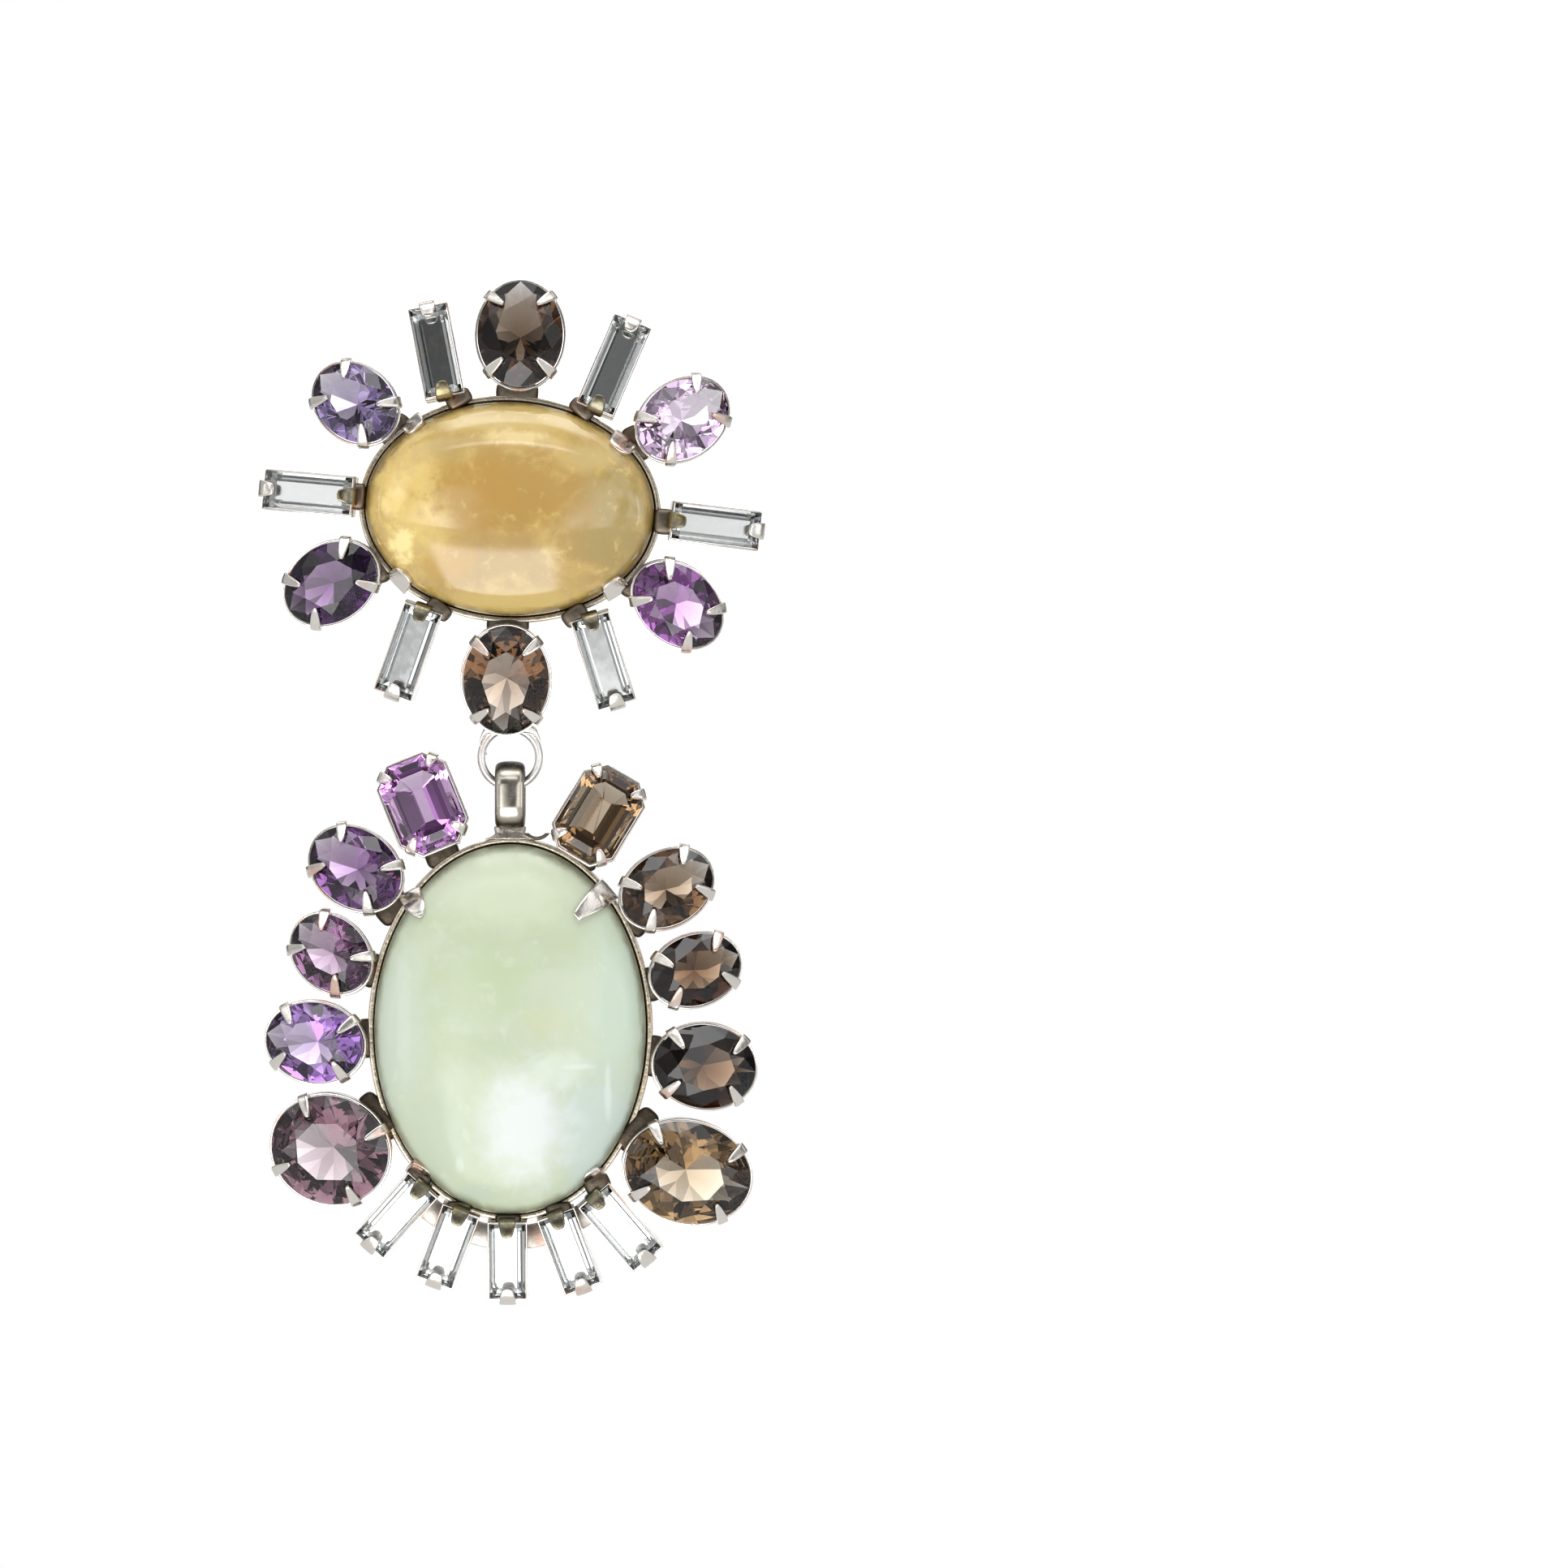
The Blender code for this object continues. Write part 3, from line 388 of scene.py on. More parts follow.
    @staticmethod
    def scrap(*pieces: bpy.types.Object) -> None:
        """Remove patterns that were only copied."""
        for piece in pieces:
            bpy.data.objects.remove(piece, do_unlink=True)


# Finishes


class Paint:
    """A material's or a world's node tree, with short ways to add and join its nodes."""

    def __init__(self, name: str, world: bool = False) -> None:
        """Start a material or a world.

        Args:
            name: Its name.
            world: Whether it is a world.
        """
        self.material = bpy.data.worlds.new(name) if world else bpy.data.materials.new(name)
        self.material.use_nodes = True
        self.tree = self.material.node_tree
        self.shader = self.tree.nodes["Background" if world else "Principled BSDF"]
        self.output = self.tree.nodes["World Output" if world else "Material Output"]
        self.place = self.node("ShaderNodeTexCoord").outputs["Generated" if world else "Object"]

    def node(self, kind: str, **settings: object) -> bpy.types.Node:
        """Add a node.

        Args:
            kind: The node's type.
            settings: The node's own properties.

        Returns:
            The node.
        """
        made = self.tree.nodes.new(kind)
        for name, value in settings.items():
            setattr(made, name, value)
        return made

    def feed(self, socket: bpy.types.NodeSocket, value: object) -> None:
        """Give a socket a link or a fixed value."""
        if isinstance(value, bpy.types.NodeSocket):
            self.tree.links.new(value, socket)
        else:
            socket.default_value = value

    def mapped(
        self, centre: Vector, turn: float, stretch: tuple[float, float, float]
    ) -> bpy.types.NodeSocket:
        """Centre, turn and stretch a pattern on a piece.

        Args:
            centre: The pattern's middle, in metres.
            turn: Its turn in the front plane, in degrees.
            stretch: What its axes are multiplied by.

        Returns:
            The pattern's coordinates.
        """
        moved = self.node("ShaderNodeVectorMath", operation="SUBTRACT")
        self.feed(moved.inputs[0], self.place)
        self.feed(moved.inputs[1], centre)
        mapping = self.node("ShaderNodeMapping")
        self.feed(mapping.inputs["Vector"], moved.outputs[0])
        mapping.inputs["Rotation"].default_value = (0.0, math.radians(turn), 0.0)
        mapping.inputs["Scale"].default_value = stretch
        return mapping.outputs[0]

    def noise(
        self, scale: float, detail: float = 3.0, roughness: float = 0.55, twist: float = 0.0
    ) -> bpy.types.NodeSocket:
        """Add a cloudy pattern.

        Args:
            scale: How fine it is, in cycles to the metre.
            detail: How many finer layers it has.
            roughness: How strong those layers are.
            twist: How much it is distorted.

        Returns:
            The pattern, from 0 to 1.
        """
        made = self.node("ShaderNodeTexNoise")
        self.feed(made.inputs["Vector"], self.place)
        made.inputs["Scale"].default_value = scale
        made.inputs["Detail"].default_value = detail
        made.inputs["Roughness"].default_value = roughness
        made.inputs["Distortion"].default_value = twist
        return made.outputs[0]

    def step(self, value: bpy.types.NodeSocket, start: float, end: float,
             low: float = 0.0, high: float = 1.0) -> bpy.types.NodeSocket:
        """Ease a value from one level to another between two limits.

        Args:
            value: What is read.
            start: Where the ease starts.
            end: Where it ends.
            low: What it gives before the start.
            high: What it gives after the end.

        Returns:
            The eased value.
        """
        made = self.node("ShaderNodeMapRange", interpolation_type="SMOOTHSTEP")
        self.feed(made.inputs["Value"], value)
        for name, number in (("From Min", start), ("From Max", end), ("To Min", low), ("To Max", high)):
            made.inputs[name].default_value = number
        return made.outputs["Result"]

    def combine(self, kind: str, first: object, second: object) -> bpy.types.NodeSocket:
        """Combine two values.

        Args:
            kind: The operation, such as MULTIPLY.
            first: The first value.
            second: The second value.

        Returns:
            The result.
        """
        made = self.node("ShaderNodeMath", operation=kind)
        self.feed(made.inputs[0], first)
        self.feed(made.inputs[1], second)
        return made.outputs[0]

    def blend(self, share: object, first: object, second: object) -> bpy.types.NodeSocket:
        """Mix two colours.

        Args:
            share: How much of the second colour there is.
            first: The first colour.
            second: The second colour.

        Returns:
            The mixed colour.
        """
        made = self.node("ShaderNodeMix", data_type="RGBA")
        self.feed(made.inputs["Factor"], share)
        for name, value in (("A", first), ("B", second)):
            socket = next(s for s in made.inputs if s.name == name and s.type == "RGBA")
            self.feed(socket, (*value, 1.0) if isinstance(value, tuple) else value)
        return next(s for s in made.outputs if s.type == "RGBA")

    def axis(self, which: str) -> bpy.types.NodeSocket:
        """Read one of the place's coordinates.

        Args:
            which: X, Y or Z.

        Returns:
            That coordinate.
        """
        made = self.node("ShaderNodeSeparateXYZ")
        self.feed(made.inputs[0], self.place)
        return made.outputs[which]

    def length(self, place: bpy.types.NodeSocket) -> bpy.types.NodeSocket:
        """Measure how far coordinates are from their middle."""
        made = self.node("ShaderNodeVectorMath", operation="LENGTH")
        self.feed(made.inputs[0], place)
        return made.outputs["Value"]

    def relief(self, height: bpy.types.NodeSocket, strength: float, depth: float) -> None:
        """Raise the surface by a pattern.

        Args:
            height: The pattern.
            strength: The relief's strength.
            depth: Its depth, in metres.
        """
        made = self.node("ShaderNodeBump")
        made.inputs["Strength"].default_value = strength
        made.inputs["Distance"].default_value = depth
        self.feed(made.inputs["Height"], height)
        self.feed(self.shader.inputs["Normal"], made.outputs["Normal"])

    def set(self, **values: object) -> None:
        """Set the shader's sockets, whose names have underscores here for spaces."""
        for name, value in values.items():
            self.feed(self.shader.inputs[name.replace("_", " ")], value)


# How fine the silver's mottle, its broad tints and its grain are, in cycles to the metre
MOTTLE_SCALE = 1300.0
TINT_SCALE = 260.0
GRAIN_SCALE = 2600.0


@dataclass(frozen=True)
class SilverFinish:
    """Antique silver: bright where it stands proud, dark where hands never reach."""

    name: str
    bright: Colour
    dark: Colour
    # tint and tint_share lay broad warm patches at random: painted warm reflections on the silver
    tint: Colour
    tint_share: float
    front: float
    back: float
    least_dark: float
    polish: float
    grain: float = 0.35
    calm: float = 0.82
    dulling: float = 0.28

    def material(self) -> bpy.types.Material:
        """Build the finish.

        Returns:
            The material. front and back are the Y places between which the patina sets in.
        """
        paint = Paint(self.name)
        mottle = paint.noise(MOTTLE_SCALE, 4.0, 0.6, 0.4)
        broad = paint.noise(TINT_SCALE, 2.0, 0.5)
        depth = paint.step(paint.axis("Y"), self.front, self.back, self.least_dark, 1.0)
        stain = paint.combine("MULTIPLY", depth, paint.step(mottle, 0.30, 0.62, self.calm, 1.0))
        # Painted reflection: broad warm patches mixed into the silver's colour
        tint = paint.step(broad, 0.56, 0.68, 0.0, self.tint_share)
        shine = paint.step(mottle, 0.2, 0.8, self.polish, self.polish + 0.1)
        paint.set(
            Base_Color=paint.blend(stain, paint.blend(tint, self.bright, self.tint), self.dark),
            Metallic=1.0,
            Roughness=paint.combine("ADD", paint.combine("MULTIPLY", stain, self.dulling), shine),
        )
        grain = paint.noise(GRAIN_SCALE, 3.0, 0.6)
        height = paint.combine("ADD", grain, paint.combine("MULTIPLY", mottle, 1.5))
        paint.relief(height, self.grain, 0.00003)
        return paint.material


@dataclass(frozen=True)
class GemFinish:
    """A clear quartz, coloured by what its depth takes from the light."""

    name: str
    through: Colour
    density: float
    index: float = 1.55

    def material(self) -> bpy.types.Material:
        """Build the finish.

        Returns:
            The material, with faint polishing marks.
        """
        paint = Paint(self.name)
        marks = paint.noise(1500.0, 3.0, 0.6, 0.8)
        paint.set(
            Base_Color=paint.blend(paint.step(marks, 0.3, 0.7), (1.0, 1.0, 1.0), (0.96, 0.96, 0.97)),
            Roughness=paint.step(marks, 0.62, 0.80, 0.0, 0.06),
            IOR=self.index,
            Transmission_Weight=1.0,
        )
        if self.density > 0.0:
            depth = paint.node("ShaderNodeVolumeAbsorption")
            depth.inputs["Color"].default_value = (*self.through, 1.0)
            depth.inputs["Density"].default_value = self.density
            paint.tree.links.new(depth.outputs[0], paint.output.inputs["Volume"])
        return paint.material


@dataclass(frozen=True)
class CloudAndLightSpot:
    """A soft patch of colour in a cabochon, used both for the stone's cloud and for painted glow,
    reflections and highlights: its place in the photograph's front view, in mm.
    """

    x: float
    z: float
    half_x: float
    half_z: float
    turn: float
    colour: Colour
    share: float


@dataclass(frozen=True)
class CabochonFinish:
    """A polished cloudy stone, lit through, with painted shade darkening it towards its rim."""

    name: str
    body: Colour
    veil: Colour
    spots: tuple[CloudAndLightSpot, ...]
    # rim is the colour of the painted shade at the stone's edge, where the dark bezel shows through
    rim: Colour
    rim_shade_share: float
    cloud_scale: float
    fleck: Colour
    fleck_share: float
    glow: float
    polish: float
    coat: float
    ragged: float
    rim_shade_start: float = 0.93
    gloss: float = 0.5

    def material(self, centre: Vector, half: tuple[float, float], turn: float) -> bpy.types.Material:
        """Build the finish for a cabochon.

        Args:
            centre: The cabochon's middle, in metres.
            half: Half its length and width, in metres.
            turn: Its turn in the front plane, in degrees.

        Returns:
            The material.
        """
        paint = Paint(self.name)
        cloud = paint.noise(self.cloud_scale, 5.0, 0.6, 0.6)
        fine = paint.noise(self.cloud_scale * 3.2, 3.0, 0.55, 0.3)
        fine_half = paint.combine("MULTIPLY", fine, 0.5)
        mixed = paint.combine("ADD", fine_half, paint.combine("MULTIPLY", cloud, 0.5))
        ragged = paint.step(mixed, 0.3, 0.7, -self.ragged, self.ragged)
        colour = paint.blend(paint.step(cloud, 0.35, 0.68), self.body, self.veil)
        for spot in self.spots:
            place = paint.mapped(
                centre + (RIGHT * spot.x + UP * spot.z) * MILLIMETRE, spot.turn,
                (1.0 / (spot.half_x * MILLIMETRE), 0.0, 1.0 / (spot.half_z * MILLIMETRE)),
            )
            edge = paint.combine("ADD", paint.length(place), ragged)
            colour = paint.blend(paint.step(edge, 0.35, 1.15, spot.share, 0.0), colour, spot.colour)
        flecks = paint.step(fine, 0.60, 0.74, 0.0, self.fleck_share)
        colour = paint.blend(flecks, colour, self.fleck)
        # Painted shade: the colour darkens towards the rim, standing in for the dark bezel seen through the
        # stone
        across = paint.mapped(centre, turn, (1.0 / half[0], 0.0, 1.0 / half[1]))
        rim = paint.combine("ADD", paint.length(across), paint.step(fine, 0.2, 0.8, -0.012, 0.012))
        colour = paint.blend(paint.step(rim, self.rim_shade_start, 1.0, 0.0, self.rim_shade_share), colour, self.rim)
        paint.set(
            Base_Color=colour,
            Roughness=self.polish,
            IOR=1.54,
            Subsurface_Weight=self.glow,
            Subsurface_Radius=Vector((0.0030, 0.0024, 0.0016)),
            Subsurface_Scale=1.0,
            Specular_IOR_Level=self.gloss,
            Coat_Weight=self.coat,
            Coat_Roughness=0.02,
        )
        paint.relief(paint.noise(3000.0, 2.0), 0.05, 0.00001)
        return paint.material


@dataclass(frozen=True)
class Palette:
    """Every finish that the earring wears."""

    cluster_silver: SilverFinish = SilverFinish(
        "antique_silver_cluster", tone(236, 231, 224), tone(84, 74, 64), tone(232, 184, 160),
        tint_share=0.6, front=-0.0044, back=-0.0024, least_dark=0.06, polish=0.11,
    )
    drop_silver: SilverFinish = SilverFinish(
        "antique_silver_drop", tone(236, 231, 224), tone(84, 74, 64), tone(232, 180, 156),
        tint_share=0.6, front=-0.0034, back=-0.0014, least_dark=0.06, polish=0.11,
    )
    bezel_silver: SilverFinish = SilverFinish(
        "bezel_silver", tone(226, 216, 196), tone(88, 75, 54), tone(214, 178, 136),
        tint_share=0.5, front=-0.0030, back=-0.0006, least_dark=0.22, polish=0.14, grain=0.5, calm=0.91,
    )
    ring_silver: SilverFinish = SilverFinish(
        "polished_silver", tone(250, 247, 244), tone(110, 98, 88), tone(244, 224, 214),
        tint_share=0.4, front=0.0, back=0.01, least_dark=0.03, polish=0.26,
    )
    solder: SilverFinish = SilverFinish(
        "dark_solder", tone(132, 122, 108), tone(52, 44, 36), tone(140, 108, 84),
        tint_share=0.6, front=-0.0060, back=-0.0020, least_dark=0.35, polish=0.20, grain=0.8,
    )
    # The bail's tones are lower than the other silver's and its patina starts right at its arch: patina in
    # part, and in part painted darkening that stands in for the dark reflections on the strap
    bail_silver: SilverFinish = SilverFinish(
        "worn_bail_silver", tone(196, 190, 178), tone(58, 50, 42), tone(186, 176, 154),
        tint_share=0.3, front=-0.0057, back=-0.0049, least_dark=0.02, polish=0.14, grain=0.12,
    )
    collar_silver: SilverFinish = SilverFinish(
        "dark_collar_silver", tone(206, 198, 186), tone(56, 48, 38), tone(190, 160, 120),
        tint_share=0.5, front=-0.0046, back=-0.0032, least_dark=0.45, polish=0.14, grain=1.0, calm=0.2,
    )
    tongue_silver: SilverFinish = SilverFinish(
        "olive_tongue_silver", tone(146, 140, 120), tone(50, 46, 36), tone(176, 156, 96),
        tint_share=0.5, front=-0.0062, back=-0.0040, least_dark=0.35, polish=0.13, grain=0.6, calm=0.2,
    )
    foil: SilverFinish = SilverFinish(
        "crystal_foil", tone(212, 214, 214), tone(186, 187, 184), tone(218, 212, 202),
        tint_share=0.4, front=0.0, back=0.01, least_dark=0.10, polish=0.0, grain=0.01,
    )
    gems: tuple[GemFinish, ...] = (
        GemFinish("amethyst", (0.51, 0.29, 0.567), 500.0),
        GemFinish("bright_amethyst", (0.78, 0.44, 0.84), 230.0),
        GemFinish("plum_amethyst", (0.52, 0.34, 0.504), 560.0),
        GemFinish("violet_amethyst", (0.606, 0.42, 0.724), 400.0),
        GemFinish("rose_amethyst", (0.565, 0.4525, 0.50), 450.0),
        GemFinish("dusky_amethyst", (0.5575, 0.4575, 0.68), 400.0),
        GemFinish("ice_amethyst", (0.84, 0.55, 0.90), 120.0),
        GemFinish("deep_amethyst", (0.50, 0.27, 0.56), 860.0),
        GemFinish("lilac_amethyst", (0.582, 0.293, 0.627), 450.0),
        GemFinish("smoky", (0.50, 0.36, 0.21), 520.0),
        GemFinish("dark_smoky", (0.44, 0.31, 0.17), 600.0),
        GemFinish("brown_smoky", (0.50, 0.364, 0.20), 640.0),
        GemFinish("deep_smoky", (0.47, 0.31, 0.13), 1010.0),
        GemFinish("pale_smoky", (0.62, 0.475, 0.26), 390.0),
        GemFinish("soft_smoky", (0.60, 0.495, 0.325), 410.0),
        GemFinish("crystal", (1.0, 1.0, 1.0), 0.0, 1.54),
    )
    citrine: CabochonFinish = CabochonFinish(
        "cloudy_citrine", tone(182, 152, 88), tone(203, 175, 108),
        (
            # Painted light among the spots: the bright yellow at (-8.8, 0.4) with the near-white spots at
            # its edge, the brown-orange middle and the greyish right paint light glowing through the stone;
            # the thin cream streaks at (1.0, 6.6) and (7.4, 4.8) are painted highlights
            CloudAndLightSpot(-8.8, 0.4, 4.8, 7.0, 0.0, tone(224, 196, 118), 0.9),
            CloudAndLightSpot(0.5, 8.4, 10.0, 2.2, 0.0, tone(204, 178, 108), 0.85),
            CloudAndLightSpot(9.8, -0.4, 4.6, 6.4, 0.0, tone(168, 148, 92), 0.9),
            CloudAndLightSpot(0.2, 1.2, 8.4, 5.2, -8.0, tone(184, 149, 86), 0.95),
            CloudAndLightSpot(-3.0, 1.6, 4.4, 3.6, 0.0, tone(188, 150, 82), 0.7),
            CloudAndLightSpot(0.9, -9.2, 10.5, 2.2, 0.0, tone(202, 176, 104), 0.9),
            CloudAndLightSpot(-0.8, -5.4, 7.2, 2.6, 0.0, tone(178, 148, 86), 0.8),
            CloudAndLightSpot(-9.9, -3.3, 1.6, 2.0, 20.0, tone(250, 228, 160), 0.95),
            CloudAndLightSpot(-10.6, 0.6, 1.2, 1.4, 0.0, tone(244, 218, 148), 0.7),
            CloudAndLightSpot(7.4, 4.8, 3.2, 1.6, -30.0, tone(204, 182, 128), 0.7),
            CloudAndLightSpot(1.0, 6.6, 3.6, 0.9, -6.0, tone(230, 208, 148), 0.7),
            CloudAndLightSpot(-5.2, 5.6, 3.4, 1.4, 24.0, tone(186, 160, 98), 0.7),
            CloudAndLightSpot(-5.6, -5.0, 2.6, 1.8, 0.0, tone(196, 158, 80), 0.7),
        ),
        rim=tone(112, 90, 44), rim_shade_share=0.85, cloud_scale=300.0, fleck=tone(240, 218, 150),
        fleck_share=0.26, glow=0.30, polish=0.10, coat=0.6, ragged=0.42,
    )
    green: CabochonFinish = CabochonFinish(
        "milky_green_stone", tone(187, 198, 170), tone(195, 205, 184),
        (
            # Painted light among the spots: the pale cloud at (1.6, -8.8) is the stone's cloud and also a
            # painted reflection of the low window; the thin pale streaks at (9.2, -5.6) and (-9.8, 2.0) are
            # painted highlights
            CloudAndLightSpot(-0.5, 13.5, 9.0, 4.5, 0.0, tone(203, 212, 188), 0.8),
            CloudAndLightSpot(-10.5, 0.0, 3.4, 11.0, 0.0, tone(196, 207, 192), 0.8),
            CloudAndLightSpot(10.0, 2.0, 3.6, 10.0, 0.0, tone(194, 210, 195), 0.8),
            CloudAndLightSpot(8.2, -9.6, 4.6, 7.6, 20.0, tone(192, 206, 199), 0.9),
            CloudAndLightSpot(1.6, -8.8, 5.0, 6.8, 10.0, tone(211, 217, 215), 0.95),
            CloudAndLightSpot(5.0, -3.6, 3.0, 2.2, 40.0, tone(213, 222, 212), 0.6),
            CloudAndLightSpot(-6.0, -10.0, 4.0, 5.0, 0.0, tone(190, 201, 184), 0.6),
            CloudAndLightSpot(-2.0, 4.0, 6.0, 4.5, 20.0, tone(188, 200, 168), 0.7),
            CloudAndLightSpot(3.6, 1.0, 3.0, 2.0, 30.0, tone(198, 205, 172), 0.5),
            CloudAndLightSpot(-2.8, -15.2, 2.4, 1.0, -20.0, tone(180, 192, 180), 0.5),
            CloudAndLightSpot(9.2, -5.6, 0.4, 3.2, -8.0, tone(222, 231, 224), 0.45),
            CloudAndLightSpot(6.3, -3.4, 1.8, 0.3, 20.0, tone(220, 229, 220), 0.45),
            CloudAndLightSpot(-9.8, 2.0, 0.8, 8.0, 3.0, tone(206, 216, 202), 0.4),
            CloudAndLightSpot(-4.6, -12.6, 0.5, 0.9, 30.0, tone(216, 224, 212), 0.4),
        ),
        rim=tone(126, 126, 102), rim_shade_share=0.85, cloud_scale=170.0, fleck=tone(216, 224, 208),
        fleck_share=0.25, glow=0.35, polish=0.16, coat=0.10, ragged=0.25, rim_shade_start=0.942, gloss=0.28,
    )


GEM_CHOICES = {
    "cluster_amethyst_1": "dusky_amethyst",
    "cluster_amethyst_2": "deep_amethyst",
    "cluster_amethyst_3": "lilac_amethyst",
    "cluster_amethyst_4": "ice_amethyst",
    "cluster_smoky_top": "dark_smoky",
    "drop_amethyst_octagon": "bright_amethyst",
    "drop_amethyst_2": "plum_amethyst",
    "drop_amethyst_3": "violet_amethyst",
    "drop_amethyst_4": "rose_amethyst",
    "drop_smoky_octagon": "pale_smoky",
    "drop_smoky_1": "brown_smoky",
    "drop_smoky_2": "deep_smoky",
    "drop_smoky_3": "deep_smoky",
    "drop_smoky_4": "soft_smoky",
}


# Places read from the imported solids


@dataclass(frozen=True)
class Seat:
    """Where a faceted stone sits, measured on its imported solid. Lengths are in millimetres."""

    name: str
    cut: Cut
    gem: str
    place: Matrix
    length: float
    width: float
    crown: float
    pavilion: float

    @staticmethod
    def read(name: str, mesh: bpy.types.Mesh, middle: Vector) -> Seat:
        """Measure a stone's seat.

        Args:
            name: The stone's node.
            mesh: The node's mesh.
            middle: The middle of the cabochon that the stone stands beside.

        Returns:
            The seat, with x along the stone, away from the cabochon, and z out of its table.
        """
        areas: dict[tuple[float, ...], float] = {}
        normals: dict[tuple[float, ...], Vector] = {}
        for facet in mesh.polygons:
            key = tuple(round(part, 2) for part in facet.normal)
            areas[key] = areas.get(key, 0.0) + facet.area
            normals[key] = facet.normal.copy()
        fronts = [key for key in areas if normals[key].dot(FRONT) > 0.9]
        out = normals[max(fronts, key=lambda key: areas[key])].normalized()
        points = np.array([vertex.co for vertex in mesh.vertices])
        centred = points - points.mean(axis=0)
        flat = centred - np.outer(centred @ np.array(out), np.array(out))
        along = Vector(np.linalg.eigh(flat.T @ flat)[1][:, -1]).normalized()
        if along.dot(Vector(points.mean(axis=0)) - middle) < 0.0:
            along = -along
        across = out.cross(along)
        spans = [points @ np.array(way) for way in (along, across, out)]
        widest = spans[1] > spans[1].max() - 1e-5
        girdle = float(spans[2][widest].mean())
        centre = sum(
            (way * float(span.max() + span.min()) / 2 for way, span in zip((along, across), spans)),
            out * girdle,
        )
        cut = Cut.BAGUETTE if "crystal" in name else Cut.OCTAGON if "octagon" in name else Cut.OVAL
        return Seat(
            name, cut, name.split("_")[1], axes(along, across, out, centre),
            float(np.ptp(spans[0])) / MILLIMETRE, float(np.ptp(spans[1])) / MILLIMETRE,
            (float(spans[2].max()) - girdle) / MILLIMETRE, (girdle - float(spans[2].min())) / MILLIMETRE,
        )


@dataclass(frozen=True)
class Dome:
    """Where a cabochon sits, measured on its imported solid. Lengths are in millimetres."""

    name: str
    place: Matrix
    half_x: float
    half_y: float
    base: float
    shoulder: float
    top: float

    @staticmethod
    def read(name: str, mesh: bpy.types.Mesh, back: float) -> Dome:
        """Measure a cabochon.

        Args:
            name: The cabochon's node.
            mesh: The node's mesh.
            back: The Y place of its bezel's back, in metres.

        Returns:
            The dome, with x across, y up and z out of its front, from the bezel's back.
        """
        points = np.array([vertex.co for vertex in mesh.vertices])
        middle = (points.max(axis=0) + points.min(axis=0)) / 2
        flat = (points - middle)[:, [0, 2]]
        long_way = np.linalg.eigh(flat.T @ flat)[1][:, -1]
        tilt = math.atan2(long_way[1], long_way[0])
        tilt = (tilt + math.pi / 4) % (math.pi / 2) - math.pi / 4
        across = Vector((math.cos(tilt), 0.0, math.sin(tilt)))
        up = Vector((-math.sin(tilt), 0.0, math.cos(tilt)))
        centre = Vector((middle[0], back, middle[2]))
        spans = [points @ np.array(way) for way in (across, up)]
        heights = back - points[:, 1]
        wall = spans[0] > spans[0].max() - 1e-6
        return Dome(
            name, axes(across, up, FRONT, centre),
            float(np.ptp(spans[0])) / 2 / MILLIMETRE, float(np.ptp(spans[1])) / 2 / MILLIMETRE,
            float(heights.min()) / MILLIMETRE, float(heights[wall].max()) / MILLIMETRE,
            float(heights.max()) / MILLIMETRE,
        )

    def edge(self, clock: float) -> tuple[Vector, Vector]:
        """Find a point of the dome's edge.

        Args:
            clock: Its direction in the dome's own axes, in degrees.

        Returns:
            The point and the edge's outward normal there.
        """
        angle = math.radians(clock)
        reach = 1.0 / math.hypot(math.cos(angle) / self.half_x, math.sin(angle) / self.half_y)
        point = Vector((math.cos(angle), math.sin(angle), 0.0)) * reach
        return point, self.normal_at(point)

    def height_at(self, spot: Vector) -> float:
        """The polished surface's height over a point of the front view."""
        share = (spot.x / self.half_x) ** 2 + (spot.y / self.half_y) ** 2
        return self.shoulder + (self.top - self.shoulder) * math.sqrt(max(0.0, 1.0 - share))

    def normal_at(self, point: Vector) -> Vector:
        """The edge's outward normal by a point on it."""
        return Vector((point.x / self.half_x ** 2, point.y / self.half_y ** 2, 0.0)).normalized()

    def crossing(self, start: Vector, way: Vector) -> Vector:
        """Find where a line from inside the dome crosses its edge.

        Args:
            start: A point inside.
            way: The line's direction.

        Returns:
            The point on the edge.
        """
        scaled = Vector((way.x / self.half_x, way.y / self.half_y))
        begun = Vector((start.x / self.half_x, start.y / self.half_y))
        square, cross, rest = scaled.dot(scaled), scaled.dot(begun), begun.dot(begun) - 1.0
        return start + way * ((math.sqrt(cross * cross - square * rest) - cross) / square)

    def tilt(self) -> float:
        """The dome's turn in the front plane, in degrees."""
        across = self.place.col[0]
        return math.degrees(math.atan2(across.z, across.x))


# Stones


@dataclass(frozen=True)
class Tier:
    """A ring of like facets on a round stone of radius 1, given by two points of their profile."""

    count: int
    start: float
    low: tuple[float, float]
    high: tuple[float, float]


